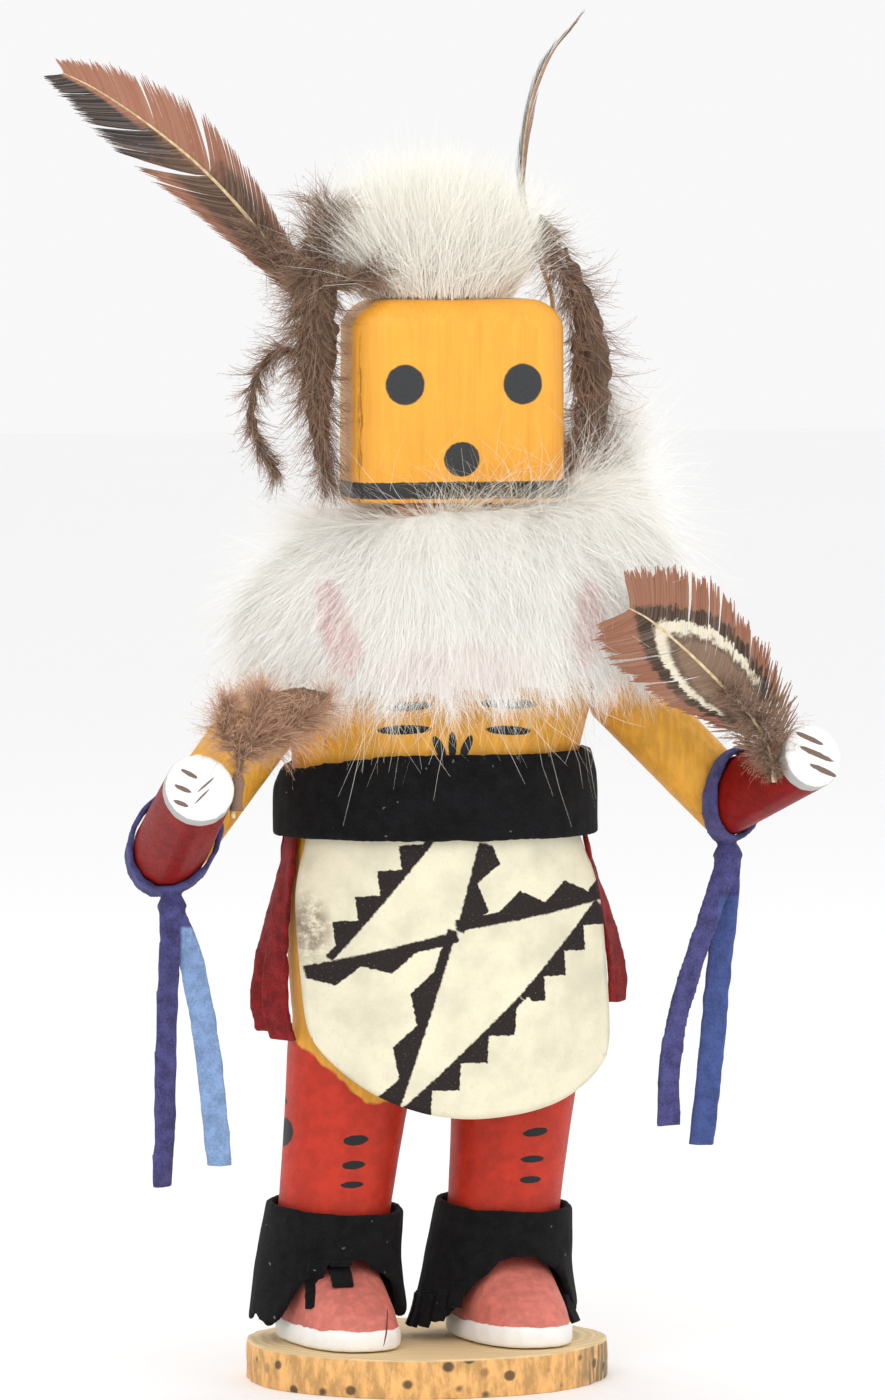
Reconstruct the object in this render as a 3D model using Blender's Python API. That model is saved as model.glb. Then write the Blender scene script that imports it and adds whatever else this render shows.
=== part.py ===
"""Carved and painted kachina doll standing on a slice of branch.

Metres, +Z up. The origin is the centre of the slice's underside and the doll
faces -Y, so the doll's own right side is at -X. Sizes are written in
millimetres times MM. Places are measured from what carries the piece.
"""

import math
import random

import bmesh
import bpy
from mathutils import Vector
from mathutils.bvhtree import BVHTree

MM = 0.001

# Clearance between pieces that touch
GAP = 0.3 * MM

# Slice of branch under the feet
BASE_HALF_WIDTH = 39.4 * MM
BASE_HALF_DEPTH = 35.7 * MM
BASE_THICKNESS = 8.5 * MM
BASE_EDGE = 0.5 * MM
BASE_WAVE = 0.55 * MM
BASE_SIDES = 36

# Heights of the carved pieces, stacked from the slice up
FOOT_HEIGHT = 18.7 * MM
SOLE_HEIGHT = 4.2 * MM
LEG_LENGTH = 46.2 * MM
TORSO_HEIGHT = 115.5 * MM
HEAD_HEIGHT = 43.4 * MM

# Moccasins
FOOT_LENGTH = 41.5 * MM
FOOT_HALF_WIDTH = 11.6 * MM
FOOT_TURN = math.radians(9.0)
ANKLE_TO_FOOT_CENTRE = 7.0 * MM
FOOT_SIDES = 20
FOOT_ROUND = 2.0 * MM
SOLE_EDGE = 0.4 * MM
FOOT_SHAPE = (
    # share of the upper's height, share of the length lost at the toe, inset as a share of the rounding
    (0.0, 0.0, 0.25), (0.22, 0.035, 0.45), (0.45, 0.12, 0.75), (0.66, 0.24, 0.9), (0.84, 0.36, 0.95), (1.0, 0.47, 1.0),
)

# Legs, leaning a little towards the doll's left
ANKLE_RADIUS = 12.2 * MM
THIGH_RADIUS = 14.6 * MM
ANKLE_RIGHT = Vector((-20.6, 3.4, 0.0)) * MM
ANKLE_LEFT = Vector((16.9, 3.4, 0.0)) * MM
HIP_RIGHT = Vector((-15.6, 0.6, 0.0)) * MM
HIP_LEFT = Vector((20.4, 0.6, 0.0)) * MM

# Torso: an oval section, with the head carried a little to the doll's left
TORSO_HALF_WIDTH = 33.0 * MM
TORSO_HALF_DEPTH = 22.4 * MM
HEAD_SHIFT = 5.65 * MM
TORSO_SIDES = 28
TORSO_SHAPE = (
    # share of height, of half width, of half depth, of the head's shift
    (-0.02, 0.90, 0.80, 0.50),
    (0.05, 0.975, 0.93, 0.50),
    (0.155, 1.00, 0.985, 0.48),
    (0.26, 0.99, 1.00, 0.44),
    (0.40, 0.94, 0.99, 0.36),
    (0.535, 0.95, 0.99, 0.36),
    (0.64, 1.03, 1.00, 0.45),
    (0.725, 1.07, 0.96, 0.55),
    (0.795, 1.03, 0.88, 0.60),
    (0.855, 0.82, 0.74, 0.68),
    (0.905, 0.57, 0.60, 0.78),
    (0.95, 0.42, 0.52, 0.88),
    (1.0, 0.38, 0.50, 0.95),
)

# Head: a block with rounded upright edges and a rounded top
HEAD_HALF_WIDTH = 23.05 * MM
HEAD_HALF_DEPTH = 15.0 * MM
HEAD_SQUARENESS = 5.0
HEAD_SIDES = 28
HEAD_ROUND = 8.0 * MM
HEAD_FOOT_ROUND = 0.8 * MM
HEAD_TOP_SHAPE = (
    # share of the rounding's height below the top, share of the half width
    (1.0, 1.0), (0.65, 0.99), (0.375, 0.968), (0.175, 0.935), (0.05, 0.88), (0.0, 0.80),
)

# Arms: an upper arm and a forearm each, mitred together at the elbow
SHOULDER_DROP = 0.2857 * TORSO_HEIGHT
SHOULDER_RIGHT = Vector((-25.0, 1.5, 0.5)) * MM
SHOULDER_LEFT = Vector((30.0, 0.0, 4.5)) * MM
UPPER_ARM_DROP_RIGHT = 0.3506 * TORSO_HEIGHT
UPPER_ARM_DROP_LEFT = 0.3117 * TORSO_HEIGHT
UPPER_ARM_FORWARD_RIGHT = 8.5 * MM
UPPER_ARM_FORWARD_LEFT = 6.0 * MM
ARM_OFF_BELT_RIGHT = 2.15 * MM
ARM_OFF_BELT_LEFT = 5.2 * MM
FOREARM_RIGHT = Vector((0.6, -38.0, 15.4)) * MM
FOREARM_LEFT = Vector((12.2, -34.0, 11.7)) * MM
ARM_RADIUS_RIGHT = 8.1 * MM
ARM_RADIUS_LEFT = 7.8 * MM
WRIST_RADIUS_RIGHT = 7.5 * MM
WRIST_RADIUS_LEFT = 7.0 * MM
HAND_EDGE = 0.7 * MM
SHOULDER_DEPTH = 0.6

# Suede and leather dress
LEATHER = 1.1 * MM
BELT_WIDTH = 0.161 * TORSO_HEIGHT
BELT_THICKNESS = 1.6 * MM
BELT_ABOVE_CROTCH = 0.381 * TORSO_HEIGHT
BELT_DIP = 4.2 * MM
BELT_SIDES = 40
BELT_PROFILE = (
    # share of the width from the lower edge, share of the thickness, share of the room for what is tucked in
    (0.0, 0.0, 1.0), (0.52, 0.0, 1.0), (1.0, 0.0, 0.1), (1.0, 1.0, 0.1),
    (0.72, 1.12, 0.75), (0.28, 1.12, 1.0), (0.0, 1.0, 1.0),
)
APRON_LENGTH = 59.5 * MM
APRON_HALF_WIDTH = 34.0 * MM
APRON_TUCK = 8.0 * MM
APRON_BOW = 13.0 * MM
# Share of the half width at each side, evenly spaced from the belt down to the hem's lowest point
APRON_RIGHT_EDGE = (-0.97, -0.97, -0.95, -0.92, -0.88, -0.80)
APRON_LEFT_EDGE = (0.93, 0.97, 1.00, 1.02, 1.03, 0.98)
# Share of the length that the hem rises by, evenly spaced from the doll's right edge to its left
APRON_HEM = (0.27, 0.115, 0.045, 0.01, 0.0, 0.01, 0.03, 0.075, 0.19)
APRON_FALL = 2.2 * MM
APRON_WRAP = math.radians(66)
SASH_WIDTH = 6.2 * MM
STRIP_SAG = 0.3 * MM
SASH_TWIST = math.radians(46)
SASH_RIGHT_LENGTH = 44.0 * MM
SASH_LEFT_LENGTH = 37.0 * MM
# Each strip's place from the side's middle line, its spread out from the hip, and its swing to the front
SASH_RIGHT_FRONT = (-3.2 * MM, 3.6 * MM, 0.5 * MM)
SASH_RIGHT_BACK = (4.1 * MM, 5.2 * MM, 0.0)
SASH_LEFT = (-2.6 * MM, 5.5 * MM, 0.5 * MM)
TIE_WIDTH = 5.6 * MM
TIE_THICKNESS = 1.2 * MM
TIE_SIDES = 16
TIE_OFF_MITRE = 1.0 * MM
TIE_KNOT = Vector((3.4, 3.0, 3.2)) * MM
TIE_TAIL_DROP = 3.5 * MM
TIE_TAIL_LENGTH = 60.0 * MM
TIE_RIGHT_TAILS = (
    # path under the knot as shares of the tail length, and the strip's turn along it in degrees
    (((-0.01, -0.017, -0.2), (-0.023, -0.017, -0.5), (-0.027, -0.02, -0.767), (-0.04, -0.023, -1.0)), (20, 35, 30, 45)),
    (((0.073, 0.027, -0.183), (0.127, 0.037, -0.467), (0.16, 0.04, -0.733), (0.177, 0.037, -0.933)), (-25, -12, -8, -5)),
)
TIE_LEFT_TAILS = (
    (((-0.07, -0.027, -0.2), (-0.16, -0.04, -0.45), (-0.22, -0.043, -0.7), (-0.227, -0.043, -0.967)), (10, 25, 30, 20)),
    (((-0.003, 0.037, -0.2), (-0.027, 0.053, -0.45), (-0.05, 0.06, -0.733), (-0.087, 0.057, -1.05)), (-20, -10, -5, -10)),
)
CUFF_THICKNESS = 1.5 * MM
CUFF_HEIGHT = 25.5 * MM
CUFF_LOOSE = 0.9 * MM
CUFF_FRONT_LIFT = 14.5 * MM
CUFF_FRINGE = 2.6 * MM
CUFF_SIDES = 36
CUFF_HEEL_ROOM = 1.9 * MM
CUFF_ABOVE_SOLE = 3.5 * MM
CUFF_TILT = 1.2 * MM
CUFF_FLARE_RIGHT = 1.0 * MM
CUFF_FLARE_LEFT = 2.7 * MM

# Fur crest on the head and fur ruff round the neck
CREST_HALF_WIDTH = 17.0 * MM
CREST_HALF_DEPTH = 12.0 * MM
CREST_HEIGHT = 27.5 * MM
CREST_SHIFT = -2.2 * MM
CREST_LOCKS = 15
RUFF_LOCKS = 20
# Each row of a ruff size: in front, at the doll's left, behind, at the doll's right
RUFF_REACH = (35.0 * MM, 52.0 * MM, 31.0 * MM, 45.5 * MM)
RUFF_TOP_REACH = (22.5 * MM, 40.0 * MM, 23.0 * MM, 29.0 * MM)
RUFF_BELOW_NECK = (43.0 * MM, 37.5 * MM, 38.0 * MM, 43.5 * MM)
RUFF_ABOVE_NECK = (0.6 * MM, 1.0 * MM, 5.0 * MM, -3.5 * MM)
RUFF_COLLAR = 7.0 * MM
RUFF_RISE = 14.0 * MM
RUFF_RISE_WAY = math.radians(101)
RUFF_RISE_SPREAD = math.radians(28)
LOCK_DEPTH = 1.5 * MM
LOCK_TIP = 4.0 * MM

# Down plumes and feathers. A path is in shares of the length, from where the piece is fixed.
# Halves and depths are half sizes from quill to tip, in shares of the width.
DOWN_RIGHT_LENGTH = 60.0 * MM
DOWN_RIGHT_WIDTH = 12.8 * MM
DOWN_RIGHT_PATH = (
    (-0.08, -0.05, -0.667), (-0.1, -0.05, -0.467), (-0.105, -0.05, -0.217),
    (-0.1, -0.05, -0.017), (-0.09, -0.05, 0.15), (-0.113, -0.05, 0.3),
)
DOWN_RIGHT_HALVES = (0.156, 0.359, 0.5, 0.484, 0.422, 0.156)
DOWN_RIGHT_DEPTHS = (0.125, 0.312, 0.391, 0.391, 0.312, 0.109)
DOWN_CURL_LENGTH = 40.0 * MM
DOWN_CURL_WIDTH = 5.6 * MM
DOWN_CURL_PATH = (
    (-0.2, -0.05, -0.3), (-0.35, 0.025, -0.275), (-0.46, 0.075, -0.4),
    (-0.495, 0.1, -0.6), (-0.445, 0.1, -0.788), (-0.345, 0.085, -0.925),
)
DOWN_CURL_HALVES = (0.286, 0.429, 0.5, 0.5, 0.393, 0.179)
DOWN_CURL_DEPTHS = (0.25, 0.393, 0.464, 0.429, 0.357, 0.161)
DOWN_LEFT_LENGTH = 56.0 * MM
DOWN_LEFT_WIDTH = 13.2 * MM
DOWN_LEFT_PATH = (
    (0.114, -0.018, -0.75), (0.129, -0.018, -0.554), (0.132, -0.018, -0.321),
    (0.118, -0.018, -0.125), (0.075, -0.036, 0.054), (0.011, -0.043, 0.214),
)
DOWN_LEFT_HALVES = (0.152, 0.379, 0.5, 0.439, 0.303, 0.121)
DOWN_LEFT_DEPTHS = (0.121, 0.303, 0.394, 0.379, 0.227, 0.091)
LONG_FEATHER_LENGTH = 88.0 * MM
LONG_FEATHER_WIDTH = 16.0 * MM
LONG_FEATHER_PATH = (
    (-0.008, 0.075, -0.136), (-0.052, 0.073, -0.045), (-0.102, 0.07, 0.036), (-0.214, 0.07, 0.182),
    (-0.339, 0.07, 0.316), (-0.473, 0.07, 0.425), (-0.595, 0.07, 0.507), (-0.714, 0.07, 0.568),
)
LONG_FEATHER_HALVES = (0.0, 0.0, 0.125, 0.4, 0.5, 0.475, 0.338, 0.05)
EDGE_FEATHER_LENGTH = 74.0 * MM
EDGE_FEATHER_WIDTH = 12.8 * MM
EDGE_FEATHER_PATH = (
    (0.004, 0.122, -0.122), (0.004, 0.122, 0.0), (-0.032, 0.124, 0.108), (-0.073, 0.127, 0.243),
    (-0.081, 0.13, 0.373), (-0.062, 0.13, 0.546), (-0.011, 0.127, 0.692), (0.086, 0.122, 0.849),
)
EDGE_FEATHER_HALVES = (0.0, 0.0, 0.172, 0.406, 0.5, 0.469, 0.344, 0.062)
HAND_FLUFF_LENGTH = 36.0 * MM
HAND_FLUFF_WIDTH = 15.6 * MM
HAND_FLUFF_PATH = (
    (-0.011, -0.008, -0.136), (0.006, -0.008, 0.058), (0.044, -0.008, 0.269),
    (0.211, 0.019, 0.431), (0.406, 0.042, 0.514), (0.6, 0.058, 0.569),
)
HAND_FLUFF_HALVES = (0.026, 0.051, 0.269, 0.5, 0.423, 0.128)
HAND_FLUFF_DEPTHS = (0.026, 0.038, 0.141, 0.192, 0.167, 0.064)
WINDOW_FEATHER_LENGTH = 54.0 * MM
WINDOW_FEATHER_WIDTH = 26.0 * MM
WINDOW_FEATHER_PATH = (
    (0.011, 0.006, -0.085), (-0.007, -0.011, 0.007), (-0.081, -0.033, 0.163), (-0.241, -0.048, 0.33),
    (-0.374, -0.056, 0.456), (-0.5, -0.056, 0.559), (-0.615, -0.056, 0.637),
)
WINDOW_FEATHER_HALVES = (0.019, 0.023, 0.254, 0.423, 0.5, 0.446, 0.115)
VANE_SPLIT = 0.12
FEATHER_THICKNESS = 0.5 * MM
QUILL_RADIUS = 0.65 * MM
FEATHER_CAMBER = 0.9 * MM
FEATHER_FULL_CAMBER_WIDTH = 16.0 * MM
HAND_FEATHER_BACK = 4.4 * MM

BASE_TOP = BASE_THICKNESS
SOLE_BOTTOM = BASE_TOP + GAP
FOOT_TOP = SOLE_BOTTOM + FOOT_HEIGHT
LEG_BOTTOM = FOOT_TOP + GAP
CROTCH = LEG_BOTTOM + LEG_LENGTH
NECK_TOP = CROTCH + TORSO_HEIGHT
HEAD_BOTTOM = NECK_TOP + GAP
HEAD_TOP = HEAD_BOTTOM + HEAD_HEIGHT
BELT_BOTTOM = CROTCH + BELT_ABOVE_CROTCH
SHOULDER_HEIGHT = NECK_TOP - SHOULDER_DROP
TUCK = LEATHER + 4 * GAP


def clear_scene():
    for item in list(bpy.data.objects):
        bpy.data.objects.remove(item)


def paint(name, colour, roughness):
    """One Principled material with the piece's own colour."""
    material = bpy.data.materials.new(name)
    material.use_nodes = True
    shader = material.node_tree.nodes["Principled BSDF"]
    shader.inputs["Base Color"].default_value = (*colour, 1.0)
    shader.inputs["Roughness"].default_value = roughness
    shader.inputs["Metallic"].default_value = 0.0
    material.diffuse_color = (*colour, 1.0)
    return material


def place(name, bm, material, sharp=40.0):
    """Turns a bmesh into a named, smooth-shaded object."""
    mesh = bpy.data.meshes.new(name)
    bm.to_mesh(mesh)
    bm.free()
    mesh.materials.append(material)
    mesh.shade_smooth()
    mesh.set_sharp_from_angle(angle=math.radians(sharp))
    piece = bpy.data.objects.new(name, mesh)
    bpy.context.scene.collection.objects.link(piece)
    return piece


def combine(piece, helper_bm, operation):
    """Adds or takes away a helper shape by a Boolean that stays on the piece."""
    name = f"helper_{piece.name}_{len(piece.modifiers)}"
    mesh = bpy.data.meshes.new(name)
    helper_bm.to_mesh(mesh)
    helper_bm.free()
    helper = bpy.data.objects.new(name, mesh)
    bpy.context.scene.collection.objects.link(helper)
    helper.hide_render = True
    helper.display_type = "WIRE"
    step = piece.modifiers.new(operation.lower(), "BOOLEAN")
    step.operation = operation
    step.solver = "EXACT"
    step.object = helper


def skin(rings, closed=False):
    """A closed mesh through rings of points; an open stack has a face at each end."""
    bm = bmesh.new()
    loops = [[bm.verts.new(point) for point in ring] for ring in rings]
    pairs = list(zip(loops, loops[1:]))
    if closed:
        pairs.append((loops[-1], loops[0]))
    else:
        bm.faces.new(loops[0])
        bm.faces.new(loops[-1])
    for lower, upper in pairs:
        for i, corner in enumerate(lower):
            j = (i + 1) % len(lower)
            bm.faces.new((corner, lower[j], upper[j], upper[i]))
    bmesh.ops.recalc_face_normals(bm, faces=bm.faces)
    return bm


def oval(centre, half_x, half_y, count, squareness=2.0):
    """A level ring; a higher squareness gives a block with rounded corners."""
    ring = []
    for i in range(count):
        angle = math.tau * i / count
        x = math.copysign(abs(math.cos(angle)) ** (2 / squareness), math.cos(angle))
        y = math.copysign(abs(math.sin(angle)) ** (2 / squareness), math.sin(angle))
        ring.append(Vector((centre[0] + half_x * x, centre[1] + half_y * y, centre[2])))
    return ring


def smooth_path(points, count):
    """Evenly indexed points on a Catmull-Rom curve through the given points."""
    points = [Vector(point) for point in points]
    ends = [2 * points[0] - points[1], *points, 2 * points[-1] - points[-2]]
    path = []
    for i in range(count):
        place_on = (len(points) - 1) * i / (count - 1)
        span = min(int(place_on), len(points) - 2)
        t = place_on - span
        a, b, c, d = ends[span:span + 4]
        path.append(0.5 * ((2 * b) + (c - a) * t + (2 * a - 5 * b + 4 * c - d) * t ** 2
                           + (3 * b - a - 3 * c + d) * t ** 3))
    return path


def from_anchor(anchor, length, offsets):
    """Points beside an anchor, from offsets given as shares of a length."""
    return [anchor + Vector(offset) * length for offset in offsets]


def blend(values, share):
    """Linear value between evenly spaced entries, for a share from 0 to 1."""
    spot = min(max(share, 0.0), 1.0) * (len(values) - 1)
    low = min(int(spot), len(values) - 2)
    return values[low] + (values[low + 1] - values[low]) * (spot - low)


def smooth_step(low, high, value):
    share = min(max((value - low) / (high - low), 0.0), 1.0)
    return share * share * (3 - 2 * share)


def round_compass(angle, values):
    """A smooth value round the doll from its value in front, at its left, behind and at its right."""
    toward = (math.cos(angle), math.sin(angle), -math.cos(angle), -math.sin(angle))
    return sum(value * max(0.0, share) ** 2 for value, share in zip(values, toward))


def torso_section(z):
    """Centre X, half width and half depth of the torso at a height."""
    share = (z - CROTCH) / TORSO_HEIGHT
    rows = TORSO_SHAPE
    share = min(max(share, rows[0][0]), rows[-1][0])
    for low, high in zip(rows, rows[1:]):
        if share <= high[0]:
            t = (share - low[0]) / (high[0] - low[0])
            wide, deep, lean = (low[k] + (high[k] - low[k]) * t for k in (1, 2, 3))
            return HEAD_SHIFT * lean, TORSO_HALF_WIDTH * wide, TORSO_HALF_DEPTH * deep
    raise ValueError("height outside the torso")


def torso_bm(grow=0.0):
    rings = []
    for share, wide, deep, lean in TORSO_SHAPE:
        centre = (HEAD_SHIFT * lean, 0.0, CROTCH + TORSO_HEIGHT * share)
        rings.append(oval(centre, TORSO_HALF_WIDTH * wide + grow, TORSO_HALF_DEPTH * deep + grow, TORSO_SIDES))
    if grow:
        rings.append([point + Vector((0, 0, grow)) for point in rings[-1]])
    return skin(rings)


def leg_bm(ankle, hip, top):
    """A leg from its cut end over the moccasin to a height inside the torso."""
    rings = []
    for share in (0.0, 0.25, 0.5, 0.75, 1.0, 1.35):
        z = LEG_BOTTOM + LEG_LENGTH * share
        centre = ankle.lerp(hip, share)
        radius = ANKLE_RADIUS + (THIGH_RADIUS - ANKLE_RADIUS) * min(share, 1.0) ** 1.6
        if share > 1.0:
            z = top
            radius *= 0.8
        rings.append(oval((centre.x, centre.y, z), radius, radius, 18))
    return skin(rings)


def make_base(material):
    """The slice of branch: a lightly wavy round with softened rims."""
    rows = ((0.0, BASE_EDGE), (BASE_EDGE, 0.0), (BASE_TOP - BASE_EDGE, 0.0), (BASE_TOP, BASE_EDGE))
    rings = []
    for z, inset in rows:
        ring = []
        for i in range(BASE_SIDES):
            angle = math.tau * i / BASE_SIDES
            wave = BASE_WAVE * (math.sin(3 * angle + 0.7) + 0.5 * math.sin(7 * angle + 2.0))
            ring.append(Vector(((BASE_HALF_WIDTH - inset + wave) * math.cos(angle),
                                (BASE_HALF_DEPTH - inset + wave) * math.sin(angle), z)))
        rings.append(ring)
    place("base_slice", skin(rings), material)


def make_body(material):
    body = place("body", torso_bm(), material)
    inside = CROTCH + 0.12 * TORSO_HEIGHT
    combine(body, leg_bm(ANKLE_RIGHT, HIP_RIGHT, inside), "UNION")
    combine(body, leg_bm(ANKLE_LEFT, HIP_LEFT, inside), "UNION")


def head_bm(grow=0.0):
    rows = [(HEAD_BOTTOM - grow, 0.985), (HEAD_BOTTOM + HEAD_FOOT_ROUND, 1.0)]
    rows += [(HEAD_TOP - HEAD_ROUND * depth, scale) for depth, scale in HEAD_TOP_SHAPE]
    rings = []
    for z, scale in rows:
        inset = (1 - scale) * HEAD_HALF_WIDTH
        lift = grow if scale < 0.95 and z > HEAD_BOTTOM + HEAD_HEIGHT / 2 else 0.0
        rings.append(oval((HEAD_SHIFT, 0.0, z + lift), HEAD_HALF_WIDTH - inset + grow,
                          HEAD_HALF_DEPTH - inset + grow, HEAD_SIDES, HEAD_SQUARENESS))
    return skin(rings)


def foot_frame(ankle):
    """Foot centre, its toe direction and its outer direction."""
    toe = Vector((math.sin(FOOT_TURN), -math.cos(FOOT_TURN), 0.0))
    side = Vector((math.cos(FOOT_TURN), math.sin(FOOT_TURN), 0.0))
    return ankle + toe * ANKLE_TO_FOOT_CENTRE, toe, side


def foot_bm(ankle):
    """A moccasin: upright sole, then rings that draw back from the toe up to the ankle."""
    centre, toe, side = foot_frame(ankle)
    rows = [(SOLE_BOTTOM, 0.0, SOLE_EDGE), (SOLE_BOTTOM + SOLE_EDGE, 0.0, 0.0),
            (SOLE_BOTTOM + SOLE_HEIGHT - SOLE_EDGE, 0.0, 0.0)]
    rows += [(SOLE_BOTTOM + SOLE_HEIGHT + (FOOT_HEIGHT - SOLE_HEIGHT) * up, lost, FOOT_ROUND * inset)
             for up, lost, inset in FOOT_SHAPE]
    rings = []
    for z, lost, inset in rows:
        front = FOOT_LENGTH * (0.5 - lost) - inset
        back = FOOT_LENGTH * 0.5 - inset
        half = (front + back) / 2
        middle = centre + toe * (front - back) / 2
        ring = []
        for point in oval((0, 0, z), half, FOOT_HALF_WIDTH - inset, FOOT_SIDES, 2.5):
            ring.append(middle + toe * point.x + side * point.y * (1 - 0.07 * point.x / half)
                        + Vector((0, 0, point.z)))
        rings.append(ring)
    return skin(rings)


def perpendicular(axis):
    """Two unit directions square to an axis, the second pointing as far up as it can."""
    across = axis.cross(Vector((0, 0, 1))).normalized()
    return across, across.cross(axis).normalized()


def rod_bm(stations, count=16):
    """A round rod through (point, radius) stations, its rings square to the whole axis."""
    across, up = perpendicular((stations[-1][0] - stations[0][0]).normalized())
    rings = []
    for point, radius in stations:
        rings.append([point + across * radius * math.cos(math.tau * i / count)
                      + up * radius * math.sin(math.tau * i / count) for i in range(count)])
    return skin(rings)


def keep_side(bm, point, normal):
    """Cuts a closed mesh by a plane, drops what lies along the normal and closes the cut."""
    cut = bmesh.ops.bisect_plane(bm, geom=bm.verts[:] + bm.edges[:] + bm.faces[:], plane_co=point,
                                 plane_no=normal, clear_outer=True)
    rim = [item for item in cut["geom_cut"] if isinstance(item, bmesh.types.BMEdge)]
    bmesh.ops.edgeloop_fill(bm, edges=rim)
    bmesh.ops.recalc_face_normals(bm, faces=bm.faces)
    return bm


class Arm:
    """Places along one arm: shoulder, elbow, wrist and the mitre between the two rods."""

    def __init__(self, side, shoulder, drop, forward, off_belt, fore, radius, wrist_radius):
        self.side = side
        self.shoulder = shoulder + Vector((0, 0, SHOULDER_HEIGHT))
        upper = Vector((self.outward_run(drop, off_belt + radius), -forward, -drop))
        self.elbow = self.shoulder + upper
        self.wrist = self.elbow + fore
        self.upper_way = upper.normalized()
        self.fore_way = fore.normalized()
        self.mitre = (self.upper_way + self.fore_way).normalized()
        self.radius = radius
        self.wrist_radius = wrist_radius

    def outward_run(self, drop, clear):
        """How far the elbow lies beside the shoulder for the arm's axis to pass clear of the belt's top edge."""
        hand = 1 if self.side == "left" else -1
        corner_z = BELT_BOTTOM + BELT_WIDTH - belt_dip(hand * math.pi / 2)
        middle, wide, _ = torso_section(corner_z)
        beside = hand * (middle - self.shoulder.x) + wide + GAP + BELT_THICKNESS
        below = self.shoulder.z - corner_z
        tilt = math.atan2(beside, below) + math.asin(clear / math.hypot(beside, below))
        return hand * drop * math.tan(tilt)

    def upper_bm(self, grow=0.0):
        reach = self.elbow + self.upper_way * self.radius * 2.5
        radius = self.radius + grow
        root = self.shoulder - self.upper_way * (self.radius * SHOULDER_DEPTH + grow)
        bm = rod_bm(((root, radius * 1.06), (self.elbow, radius), (reach, radius)))
        return keep_side(bm, self.elbow + self.mitre * (grow - GAP / 2), self.mitre)

    def fore_bm(self):
        start = self.elbow - self.fore_way * self.radius * 2.5
        tip = self.wrist
        bm = rod_bm(((start, self.radius), (self.elbow, self.radius),
                     (tip - self.fore_way * HAND_EDGE, self.wrist_radius),
                     (tip, self.wrist_radius - HAND_EDGE)))
        return keep_side(bm, self.elbow + self.mitre * GAP / 2, -self.mitre)

    def mitre_reach(self, out):
        """How far along the forearm the mitre lies, on the line in direction out."""
        return -(out * self.radius).dot(self.mitre) / self.fore_way.dot(self.mitre)


def belt_dip(angle):
    """How far the belt's top edge dips on the doll's right side; angle 0 faces the front."""
    return BELT_DIP * max(0.0, -math.sin(angle)) ** 3


def make_belt(material):
    """A suede band round the waist, eased out in front and at the sides over what is tucked in."""
    sections = []
    for i in range(BELT_SIDES):
        angle = math.tau * i / BELT_SIDES
        off_front = math.pi - abs(angle - math.pi)
        eased = TUCK * (1 - smooth_step(math.radians(120), math.radians(145), off_front))
        section = []
        for share, thick, ease in BELT_PROFILE:
            z = BELT_BOTTOM + (BELT_WIDTH - belt_dip(angle)) * share
            middle, wide, deep = torso_section(z)
            out = GAP + eased * ease + BELT_THICKNESS * thick
            section.append(Vector((middle + (wide + out) * math.sin(angle),
                                   -(deep + out) * math.cos(angle), z)))
        sections.append(section)
    place("belt", skin(sections, closed=True), material)


def apron_point(across, down):
    """A point of the apron's middle surface; across runs from -1 to 1, down from 0 to 1."""
    top = BELT_BOTTOM + APRON_TUCK
    hem = BELT_BOTTOM - APRON_LENGTH * (1 - blend(APRON_HEM, (across + 1) / 2))
    z = top + (hem - top) * down
    middle, wide, deep = torso_section(z)
    out = GAP + LEATHER / 2
    wrap = APRON_WRAP * across
    snug = Vector((middle + (wide + out) * math.sin(wrap), -(deep + out) * math.cos(wrap), z))
    low = (BELT_BOTTOM - z) / APRON_LENGTH
    edges = (blend(APRON_RIGHT_EDGE, low), blend(APRON_LEFT_EDGE, low))
    hang_x = HEAD_SHIFT / 2 + APRON_HALF_WIDTH * blend(edges, (across + 1) / 2)
    depth = TORSO_HALF_DEPTH + out + APRON_FALL * smooth_step(BELT_BOTTOM, BELT_BOTTOM - APRON_LENGTH, z)
    hang = Vector((hang_x, -depth + APRON_BOW * abs(across) ** 2.4, z))
    loose = smooth_step(BELT_BOTTOM + LEATHER, BELT_BOTTOM - 1.5 * APRON_TUCK, z)
    return snug.lerp(hang, loose)


def make_apron(material):
    """The painted leather flap that hangs in front, tucked under the belt."""
    columns, rows = 14, 10
    bm = bmesh.new()
    bmesh.ops.create_grid(bm, x_segments=columns, y_segments=rows, size=1.0)
    for vert in bm.verts:
        vert.co = apron_point(vert.co.x, (1 - vert.co.y) / 2)
    bmesh.ops.recalc_face_normals(bm, faces=bm.faces)
    apron = place("apron", bm, material, sharp=60.0)
    wall = apron.modifiers.new("leather", "SOLIDIFY")
    wall.thickness = LEATHER
    wall.offset = 0.0
    wall.use_even_offset = True


def strip_bm(path, wides, width, thickness, flare=1.0):
    """A flat strip along a path; wides gives the direction of its width at each point."""
    rings = []
    for i, (point, wide) in enumerate(zip(path, wides)):
        ahead = path[min(i + 1, len(path) - 1)] - path[max(i - 1, 0)]
        half = wide.normalized() * width / 2 * (1 + (flare - 1) * i / (len(path) - 1))
        thick = ahead.cross(wide).normalized() * thickness / 2
        rings.append([point - half - thick, point + half - thick, point + half + thick, point - half + thick])
    return skin(rings)


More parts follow.
